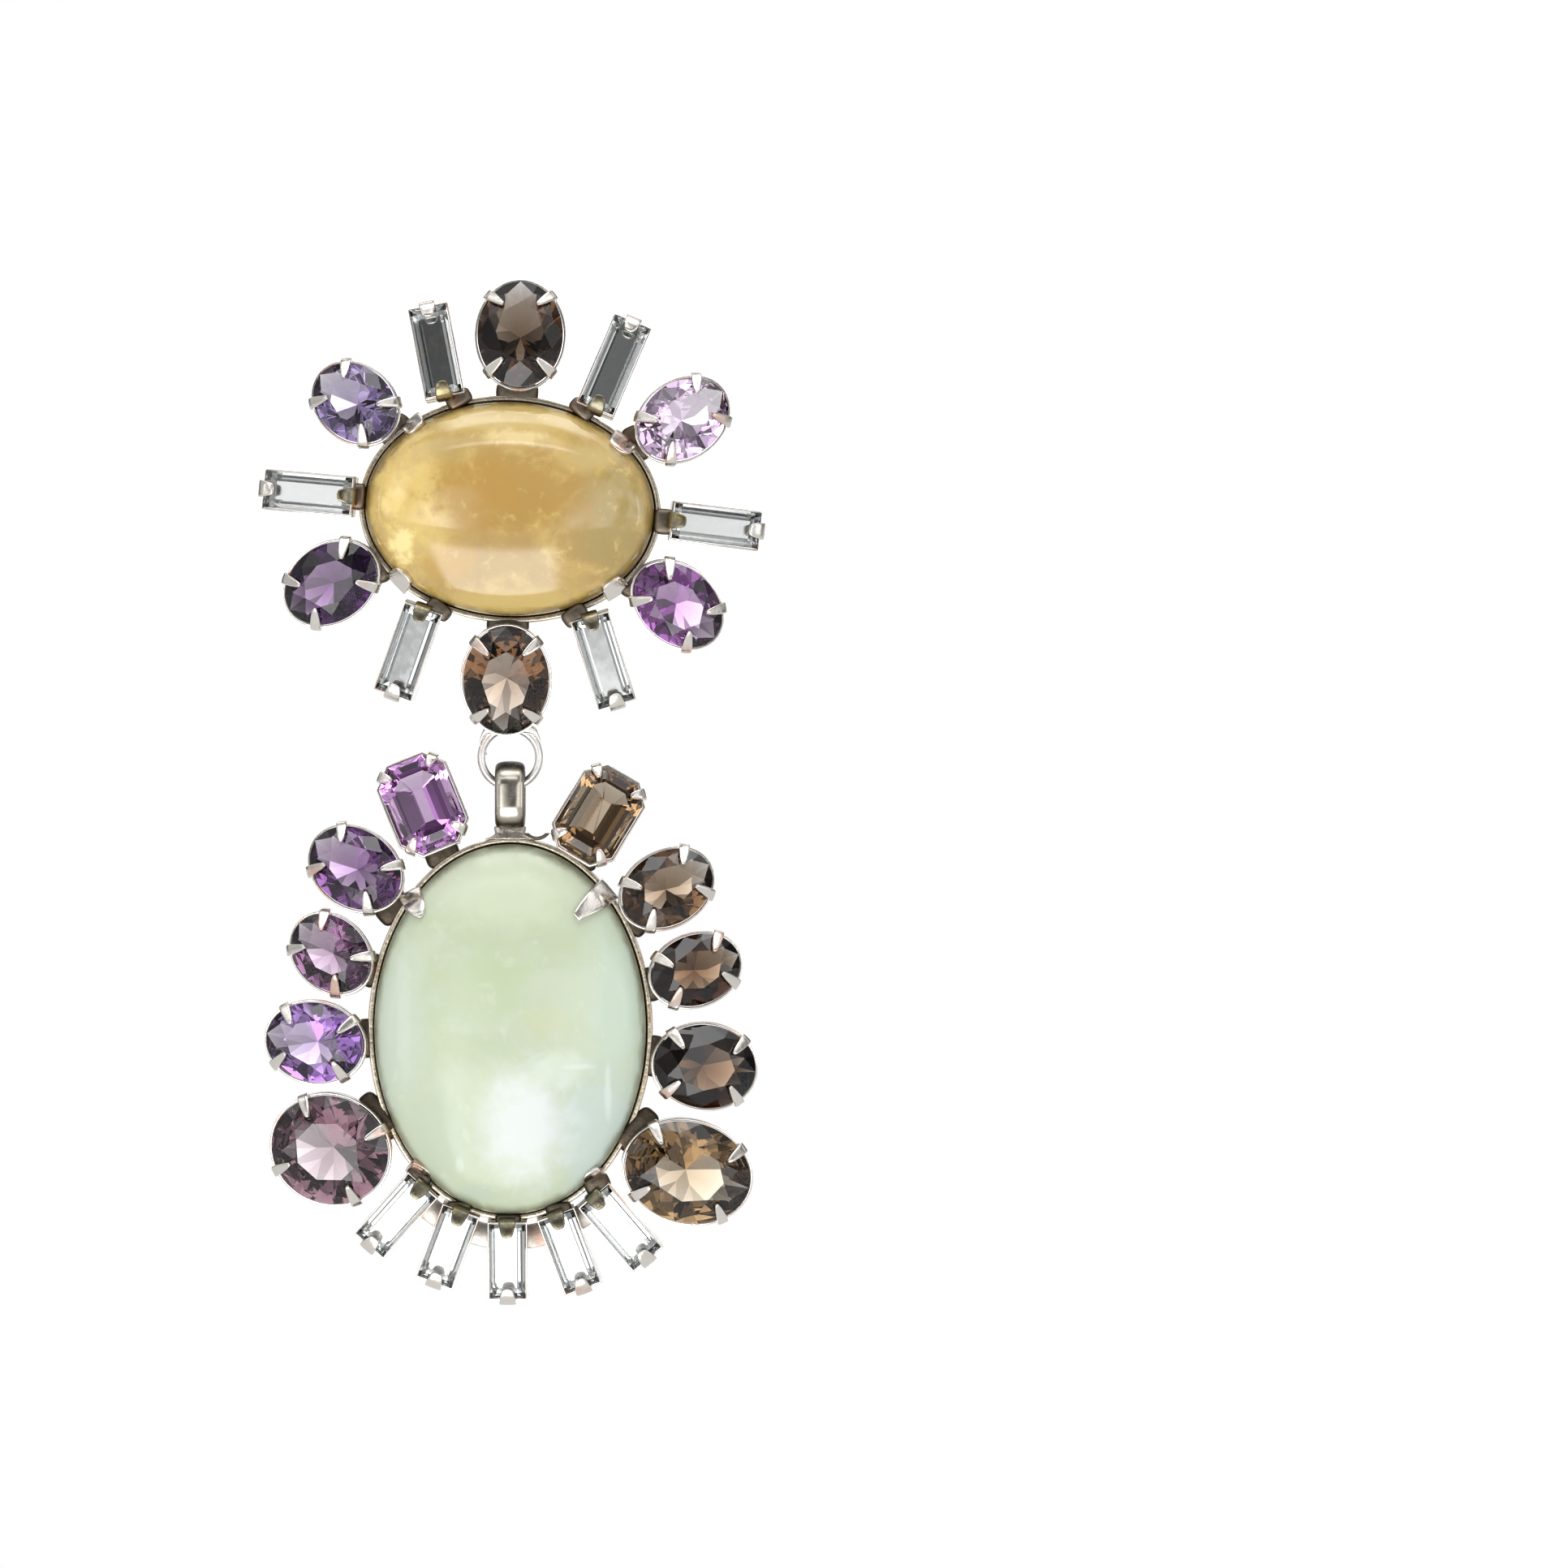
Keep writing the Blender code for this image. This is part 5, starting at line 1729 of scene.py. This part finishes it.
@dataclass
class StoneCluster:
    """A cabochon in its bezel with the faceted stones round it: what both halves share."""

    body: Body
    frame_node: str
    dome: Dome
    bezel: Bezel
    seats: list[Seat]
    broad_claws: tuple[BroadClaw, ...]
    finish: CabochonFinish

    def keep(self, piece: bpy.types.Object, material: bpy.types.Material, slot: str, *nodes: str) -> None:
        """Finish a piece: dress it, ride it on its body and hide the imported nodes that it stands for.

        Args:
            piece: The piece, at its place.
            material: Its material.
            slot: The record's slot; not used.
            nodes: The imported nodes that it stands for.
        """
        if len(piece.data.materials) < 2:
            piece.data.materials.clear()
            piece.data.materials.append(material)
        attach(piece, self.body.value)
        if nodes:
            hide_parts(*nodes)
        LOG.info("%s: %d faces", piece.name, len(piece.data.polygons))

    def cut_stones(self, oval: bpy.types.Object, gems: dict[str, bpy.types.Material]) -> None:
        """Cut the faceted stones into their seats.

        Args:
            oval: The oval stones' pattern.
            gems: The materials by gem.
        """
        for seat in self.seats:
            name = seat.name + "_cut"
            if seat.cut is Cut.OVAL:
                half = seat.width / 2
                stone = Bench.copy(oval, name, Matrix.Diagonal((seat.length / 2, half, half, 1.0)))
            else:
                stone = StepCut().build(seat, name)
            Bench.home(stone, seat.place)
            self.keep(stone, gems[GEM_CHOICES.get(seat.name, seat.gem)], seat.gem, seat.name)
            if seat.cut is Cut.BAGUETTE:
                self.back_with_foil(stone, seat, gems["foil"])

    def back_with_foil(self, stone: bpy.types.Object, seat: Seat, foil: bpy.types.Material) -> None:
        """Silver a crystal's pavilion, as on a foiled stone.

        Args:
            stone: The cut stone, at its place.
            seat: Its seat.
            foil: The foil.
        """
        stone.data.materials.append(foil)
        out = seat.place.to_3x3().col[2]
        for facet in stone.data.polygons:
            if facet.normal.dot(out) < -0.05:
                facet.material_index = 1

    def set_stones(self, material: bpy.types.Material, tongue: bpy.types.Material) -> None:
        """Model the settings of the faceted stones.

        Args:
            material: The silver.
            tongue: The darker silver of the tongues by the bezel.
        """
        basket, trough = Basket(), Trough(finishes=(material, tongue))
        patterns = {
            Cut.OVAL: OVAL_PRONG.pattern("oval_claw"),
            Cut.OCTAGON: OCTAGON_PRONG.pattern("octagon_claw"),
            Cut.BAGUETTE: TONGUE.pattern("tongue"),
        }
        for seat in self.seats:
            maker = trough if seat.cut is Cut.BAGUETTE else basket
            setting = maker.build(seat, patterns[seat.cut], seat.name + "_setting")
            self.keep(Bench.home(setting, seat.place), material, "silver", self.frame_node)
        Bench.scrap(*patterns.values())

    def set_cabochon(self, material: bpy.types.Material, silver: bpy.types.Material) -> None:
        """Model the cabochon and its bezel with the broad claws.

        Args:
            material: The bezel's silver.
            silver: The claws' silver.
        """
        name = self.dome.name
        stone = Bench.home(Cabochon().build(self.dome, name + "_dome"), self.dome.place)
        half = (self.dome.half_x * MILLIMETRE, self.dome.half_y * MILLIMETRE)
        centre = self.dome.place.to_translation()
        self.keep(stone, self.finish.material(centre, half, self.dome.tilt()), name.split("_")[0], name)
        bezel = Bench.home(self.bezel.build(self.dome, self.body.value + "_bezel"), self.dome.place)
        self.keep(bezel, material, "silver", self.frame_node)
        claws = [claw.build(self.dome, self.bezel) for claw in self.broad_claws]
        joined = Bench.home(Bench.join(self.body.value + "_broad_claws", claws), self.dome.place)
        self.keep(joined, silver, "silver", self.frame_node)

    def join_settings(self, material: bpy.types.Material) -> None:
        """Model the solder between the settings and the bezel.

        Args:
            material: The dark solder.
        """
        to_dome = self.dome.place.inverted()
        solder = Solder()
        masses = []
        for seat in self.seats:
            local = to_dome @ seat.place
            inward = -(local.to_translation().xy.to_3d()).normalized()
            own = local.to_3x3().inverted() @ inward
            angle = math.atan2(own.y, own.x)
            if seat.cut is Cut.BAGUETTE:
                reach, depth = seat.length / 2 + solder.end_gap, solder.end_depth
            else:
                reach = 1.0 / math.hypot(
                    math.cos(angle) / (seat.length / 2), math.sin(angle) / (seat.width / 2)
                ) - solder.basket_bite
                depth = solder.basket_depth
            spot = Vector((math.cos(angle) * reach, math.sin(angle) * reach, -depth)) * MILLIMETRE
            end = (local @ spot) / MILLIMETRE
            wall, normal = self.dome.edge(math.degrees(math.atan2(end.y, end.x)))
            start = wall + normal * (self.bezel.outer() - solder.root)
            start.z = end.z
            share = solder.share if seat.cut is Cut.BAGUETTE else solder.oval_share
            masses.append(solder.build("solder", start, end, share * seat.width))
        piece = Bench.home(Bench.join(self.body.value + "_solder", masses), self.dome.place)
        self.keep(piece, material, "silver", self.frame_node)


@dataclass
class EarCluster(StoneCluster):
    """The upper half: the citrine with its stones, the hanging ring and the ear post."""

    ring: HangingRing = field(default_factory=HangingRing)
    post: EarPost = field(default_factory=EarPost)

    def hang_ring(self, hinge: Vector, material: bpy.types.Material) -> None:
        """Model the ring over the hinge and the shoulder that holds it.

        Args:
            hinge: The hinge's place, in metres.
            material: The polished silver.
        """
        centre = hinge + UP * self.ring.radius * MILLIMETRE
        upright = Matrix.Translation(centre) @ Matrix.Rotation(math.pi / 2, 4, "X")
        ring = self.ring.build("hanging_ring")
        shoulder = self.ring.shoulder("ring_shoulder")
        self.keep(
            Bench.home(Bench.join("hanging_ring", [ring, shoulder]), upright), material, "silver",
            self.frame_node,
        )

    def fix_post(self, material: bpy.types.Material) -> None:
        """Turn the ear post about the origin.

        Args:
            material: The polished silver.
        """
        lying = Matrix.Rotation(-math.pi / 2, 4, "X")
        self.keep(Bench.home(self.post.build("ear_post_turned"), lying), material, "silver", "ear_post")


@dataclass
class Drop(StoneCluster):
    """The lower half: the green stone with its stones, the fan's backing and the bail."""

    bail: Bail = field(default_factory=Bail)
    backing_gap: float = 0.6
    backing_width: float = 2.2
    backing_low: float = 1.6
    backing_high: float = 2.2

    def hang_bail(
        self, hinge: Vector, material: bpy.types.Material, dark: bpy.types.Material, wire: bpy.types.Material
    ) -> None:
        """Model the bail about the hinge.

        Args:
            hinge: The hinge's place, in metres.
            material: The strap's silver.
            dark: The collar's darker silver.
            wire: The finish of the little swag of wire.
        """
        upright = Matrix.Translation(hinge) @ Matrix.Rotation(math.pi / 2, 4, "X")
        top = self.dome.place @ Vector((0.0, (self.dome.half_y + self.bezel.outer()) * MILLIMETRE, 0.0))
        drop = (top.z - hinge.z) / MILLIMETRE - self.bail.collar_bite
        strap = Bench.home(self.bail.strap("bail"), upright)
        self.keep(strap, material, "silver", self.frame_node)
        collar = Bench.home(self.bail.collar("bail_collar", drop), upright)
        self.keep(collar, dark, "silver", self.frame_node)
        swag = Bench.home(self.bail.swag("wire_swag"), upright)
        self.keep(swag, wire, "silver", self.frame_node)

    def back_fan(self, material: bpy.types.Material) -> None:
        """Model the strip behind the fan of baguettes.

        Args:
            material: The silver.
        """
        to_dome = self.dome.place.inverted()
        clocks = []
        for seat in self.seats:
            if seat.cut is Cut.BAGUETTE:
                spot = to_dome @ seat.place.to_translation()
                clocks.append(math.atan2(spot.y, spot.x) % math.tau)
        reach = self.bezel.outer() + self.backing_gap + self.backing_width
        strip = Bench.disc(
            "fan_backing", self.dome.half_x + reach, self.dome.half_y + reach,
            self.backing_low, self.backing_high, 160,
        )
        Bench.hollow(strip, self.backing_width)
        with Bench.edit(strip):
            for clock, side in ((min(clocks), 1.0), (max(clocks), -1.0)):
                bpy.ops.mesh.select_all(action="SELECT")
                bpy.ops.mesh.bisect(
                    plane_co=(0.0, 0.0, 0.0),
                    plane_no=(-side * math.sin(clock), side * math.cos(clock), 0.0),
                    use_fill=True, clear_inner=True,
                )
        Bench.finish(strip, 0.14)
        self.keep(Bench.home(strip, self.dome.place), material, "silver", self.frame_node)


# Studio


@dataclass(frozen=True)
class Softbox:
    """One soft light: its direction from the earring in degrees, its distance, size and radiance."""

    name: str
    azimuth: float
    elevation: float
    distance: float
    size: tuple[float, float]
    radiance: float
    colour: Colour
    soft_edge: float

    def hang(self, aim: Vector) -> None:
        """Hang the light.

        Args:
            aim: What it faces. Azimuth 0 is the camera's side and grows to the right.
        """
        side, rise = math.radians(self.azimuth), math.radians(self.elevation)
        way = Vector((math.sin(side) * math.cos(rise), -math.cos(side) * math.cos(rise), math.sin(rise)))
        lamp = bpy.data.lights.new(self.name, "AREA")
        lamp.shape = "RECTANGLE"
        lamp.size, lamp.size_y = self.size
        lamp.energy = self.radiance * math.pi * self.size[0] * self.size[1]
        lamp.color = self.colour
        self.fade(lamp)
        holder = bpy.data.objects.new(self.name, lamp)
        holder.location = aim + way * self.distance
        holder.rotation_euler = way.to_track_quat("Z", "Y").to_euler()
        bpy.context.scene.collection.objects.link(holder)


    def fade(self, lamp: bpy.types.Light) -> None:
        """Fade the light towards its edges, as cloth over a frame does.

        Args:
            lamp: The light.
        """
        lamp.use_nodes = True
        tree = lamp.node_tree
        spot = tree.nodes.new("ShaderNodeSeparateXYZ")
        place = tree.nodes.new("ShaderNodeNewGeometry").outputs["Parametric"]
        tree.links.new(place, spot.inputs[0])
        level = None
        for axis in ("X", "Y"):
            for start, end in ((0.0, self.soft_edge), (1.0, 1.0 - self.soft_edge)):
                ease = tree.nodes.new("ShaderNodeMapRange")
                ease.interpolation_type = "SMOOTHSTEP"
                tree.links.new(spot.outputs[axis], ease.inputs["Value"])
                ease.inputs["From Min"].default_value = start
                ease.inputs["From Max"].default_value = end
                if level is None:
                    level = ease.outputs["Result"]
                    continue
                both = tree.nodes.new("ShaderNodeMath")
                both.operation = "MULTIPLY"
                tree.links.new(level, both.inputs[0])
                tree.links.new(ease.outputs["Result"], both.inputs[1])
                level = both.outputs[0]
        tree.links.new(level, tree.nodes["Emission"].inputs["Strength"])


@dataclass(frozen=True)
class Zone:
    """A side of the surroundings: its direction, the cosines where it starts and is full, its level."""

    way: tuple[float, float, float]
    start: float
    end: float
    level: float

    def on(self, sky: Paint) -> bpy.types.NodeSocket:
        """Work out what the zone gives in each direction.

        Args:
            sky: The world's nodes.

        Returns:
            The zone's level there.
        """
        facing = sky.node("ShaderNodeVectorMath", operation="DOT_PRODUCT")
        sky.feed(facing.inputs[0], sky.place)
        facing.inputs[1].default_value = self.way
        return sky.step(facing.outputs["Value"], self.start, self.end, 0.0, self.level)


@dataclass
class Studio:
    """A pale floor, soft light and the camera at the photograph's angle."""

    lens: float = 200.0
    sensor: float = 36.0
    photo_side: float = 1932.0
    photo_scale: float = 13.2
    photo_origin: tuple[float, float] = (628.0, 561.0)
    front_plane: float = -0.005
    aim_height: float = -0.03
    floor_height: float = -0.60
    floor_side: float = 8.0
    floor_thickness: float = 0.02
    ambient: float = 0.34
    pale_zones: tuple[Zone, ...] = (
        Zone((0.0, 1.0, 0.0), 0.78, 0.92, 1.10),
        Zone((0.0, 0.0, 1.0), 0.30, 0.80, 0.60),
        Zone((0.0, -0.88, -0.47), 0.76, 0.96, 1.0),
        Zone((-0.70, -0.70, -0.10), 0.80, 0.95, 0.80),
        Zone((0.70, -0.70, -0.10), 0.80, 0.95, 0.80),
    )
    patches: tuple[float, float] = (0.25, 1.60)
    camera_shade: Zone = Zone((0.0, -0.97, 0.24), 0.90, 0.98, 0.65)
    left_wall: Zone = Zone((-0.275, -0.96, 0.02), 0.975, 0.993, 1.1)
    lens_shade: Zone = Zone((0.0, -1.0, 0.0), 0.968, 0.992, 0.65)
    softboxes: tuple[Softbox, ...] = (
        Softbox("window_low", -8.0, -33.5, 0.29, (0.24, 0.245), 3.4, (1.0, 0.99, 0.97), 0.14),
        Softbox("strip_above", 0.0, 38.5, 0.50, (0.42, 0.028), 2.8, (1.0, 1.0, 1.0), 0.25),
        Softbox("overhead", 10.0, 74.0, 0.50, (0.60, 0.30), 2.6, (1.0, 1.0, 1.0), 0.20),
        Softbox("side_left", -66.0, 6.0, 0.55, (0.05, 0.30), 1.8, (1.0, 1.0, 1.0), 0.30),
        Softbox("side_right", 60.0, 4.0, 0.55, (0.04, 0.26), 2.0, (0.97, 0.99, 1.0), 0.30),
    )

    def camera(self) -> None:
        """Stand the camera where the photograph's was, with a long lens."""
        view = bpy.data.cameras.new("camera")
        view.lens = self.lens
        view.sensor_width = self.sensor
        view.clip_start = 0.05
        view.clip_end = 20.0
        span = self.photo_side / self.photo_scale * MILLIMETRE
        distance = span * self.lens / self.sensor
        middle = self.photo_side / 2
        x = (middle - self.photo_origin[0]) / self.photo_scale * MILLIMETRE
        z = (self.photo_origin[1] - middle) / self.photo_scale * MILLIMETRE
        camera = bpy.data.objects.new("camera", view)
        camera.location = (x, self.front_plane - distance, z)
        camera.rotation_euler = (math.pi / 2, 0.0, 0.0)
        bpy.context.scene.collection.objects.link(camera)
        bpy.context.scene.camera = camera

    def floor(self) -> None:
        """Lay a pale floor under the hanging earring."""
        floor = Bench.start(
            "pale_floor", bpy.ops.mesh.primitive_plane_add, size=1.0, location=(0.0, 0.0, 0.0)
        )
        with Bench.edit(floor):
            bpy.ops.mesh.select_all(action="SELECT")
            bpy.ops.transform.resize(
                value=(self.floor_side, self.floor_side, 1.0), center_override=(0.0, 0.0, 0.0)
            )
            bpy.ops.transform.translate(value=(0.0, 0.0, self.floor_height))
            bpy.ops.mesh.extrude_region_move(
                TRANSFORM_OT_translate={"value": (0.0, 0.0, -self.floor_thickness)}
            )
        paint = Paint("pale_paper")
        paint.set(
            Base_Color=paint.blend(paint.noise(3.0), (0.93, 0.93, 0.93), (0.90, 0.90, 0.90)), Roughness=0.9,
        )
        floor.data.materials.append(paint.material)

    def lights(self) -> None:
        """Hang the soft lights and set the surroundings: pale, with grey and dark zones as in a tent."""
        for box in self.softboxes:
            box.hang(Vector((0.0, self.front_plane, self.aim_height)))
        sky = Paint("studio", world=True)
        bpy.context.scene.world = sky.material
        level = self.ambient
        for zone in self.pale_zones:
            level = sky.combine("ADD", level, zone.on(sky))
        patch = sky.step(sky.noise(2.6, 2.0), 0.40, 0.58, *self.patches)
        level = sky.combine("MULTIPLY", level, patch)
        level = self.shaded(sky, level, self.camera_shade)
        level = sky.combine("ADD", level, self.left_wall.on(sky))
        level = self.shaded(sky, level, self.lens_shade)
        seen = sky.node("ShaderNodeLightPath").outputs["Is Camera Ray"]
        sky.feed(sky.shader.inputs["Strength"], sky.combine("MAXIMUM", level, seen))
        sky.feed(sky.shader.inputs["Color"], (1.0, 1.0, 1.0, 1.0))

    @staticmethod
    def shaded(sky: Paint, level: bpy.types.NodeSocket, zone: Zone) -> bpy.types.NodeSocket:
        """Take a zone's share out of a brightness.

        Args:
            sky: The world's nodes.
            level: The brightness.
            zone: The zone, whose level is the share that it takes.

        Returns:
            What is left.
        """
        return sky.combine("MULTIPLY", level, sky.combine("SUBTRACT", 1.0, zone.on(sky)))

    def look(self) -> None:
        """Show colours as they are, with a white ground."""
        bpy.context.scene.view_settings.view_transform = "Standard"


CITRINE_CLAWS = (
    BroadClaw((11.5, 8.7), (9.7, 5.9), 2.6, 1.9),
    BroadClaw((-11.1, 9.2), (-8.9, 6.9), 2.3, 1.6),
    BroadClaw((-11.3, -8.6), (-9.3, -6.5), 2.5, 1.6),
    BroadClaw((11.5, -8.7), (9.7, -6.2), 2.5, 1.7),
)
GREEN_CLAWS = (
    BroadClaw((9.8, 13.6), (6.2, 10.5), 2.4, 0.9),
    BroadClaw((-9.9, 13.7), (-8.2, 10.4), 2.3, 0.9),
    BroadClaw((-9.4, -14.8), (-8.1, -12.7), 2.4, 1.7),
    BroadClaw((8.8, -15.4), (7.5, -13.1), 2.2, 1.5),
)


def read_cluster(frame: dict, body: Body, cabochon: str, back: float) -> tuple[Dome, list[Seat]]:
    """Read one half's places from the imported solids.

    Args:
        body: The half's body.
        cabochon: The node of its cabochon.
        back: The Y place of its bezel's back, in metres.

    Returns:
        The cabochon's place and the stones' seats.
    """
    nodes = frame["nodes"]
    dome = Dome.read(cabochon, nodes[cabochon].data, back)
    middle = dome.place.to_translation()
    words = ("amethyst", "smoky", "crystal")
    names = [
        name for name in frame["record"]["behaviour"]["bodies"][body.value]
        if any(word in name for word in words)
    ]
    return dome, [Seat.read(name, nodes[name].data, middle) for name in names]


def main() -> None:
    """Build the earring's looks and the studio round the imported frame."""
    logging.basicConfig(level=logging.INFO, format="%(name)s: %(message)s")
    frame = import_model()
    palette = Palette()
    gems = {finish.name: finish.material() for finish in palette.gems}
    gems["foil"] = palette.foil.material()
    rims = palette.bezel_silver.material()
    solder = palette.solder.material()
    polished = palette.ring_silver.material()
    hinge = Vector(frame["joints"][0]["pos_m"])
    oval = OvalCut().pattern("oval_pattern")

    cluster_dome, cluster_seats = read_cluster(
        frame, Body.CLUSTER, "citrine_cabochon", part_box("cluster_frame")[1].y
    )
    cluster_silver = palette.cluster_silver.material()
    cluster = EarCluster(
        Body.CLUSTER, "cluster_frame", cluster_dome, Bezel(closed=True), cluster_seats, CITRINE_CLAWS,
        palette.citrine,
    )
    cluster.cut_stones(oval, gems)
    tongue = palette.tongue_silver.material()
    cluster.set_stones(cluster_silver, tongue)
    cluster.set_cabochon(rims, cluster_silver)
    cluster.join_settings(solder)
    cluster.hang_ring(hinge, polished)
    cluster.fix_post(polished)

    drop_dome, drop_seats = read_cluster(
        frame, Body.DROP, "green_cabochon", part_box("drop_frame")[1].y
    )
    drop_silver = palette.drop_silver.material()
    drop = Drop(
        Body.DROP, "drop_frame", drop_dome, Bezel(closed=False), drop_seats, GREEN_CLAWS,
        palette.green,
    )
    drop.cut_stones(oval, gems)
    drop.set_stones(drop_silver, tongue)
    drop.set_cabochon(rims, drop_silver)
    drop.join_settings(solder)
    drop.back_fan(drop_silver)
    # The little swag of wire wears the dark solder: painted darkening that stands in for the dark edges the
    # thin wire shows against the white ground
    drop.hang_bail(hinge, palette.bail_silver.material(), palette.collar_silver.material(), solder)
    Bench.scrap(oval)

    studio = Studio()
    studio.camera()
    studio.floor()
    studio.lights()
    studio.look()


if __name__ == "__main__":
    main()
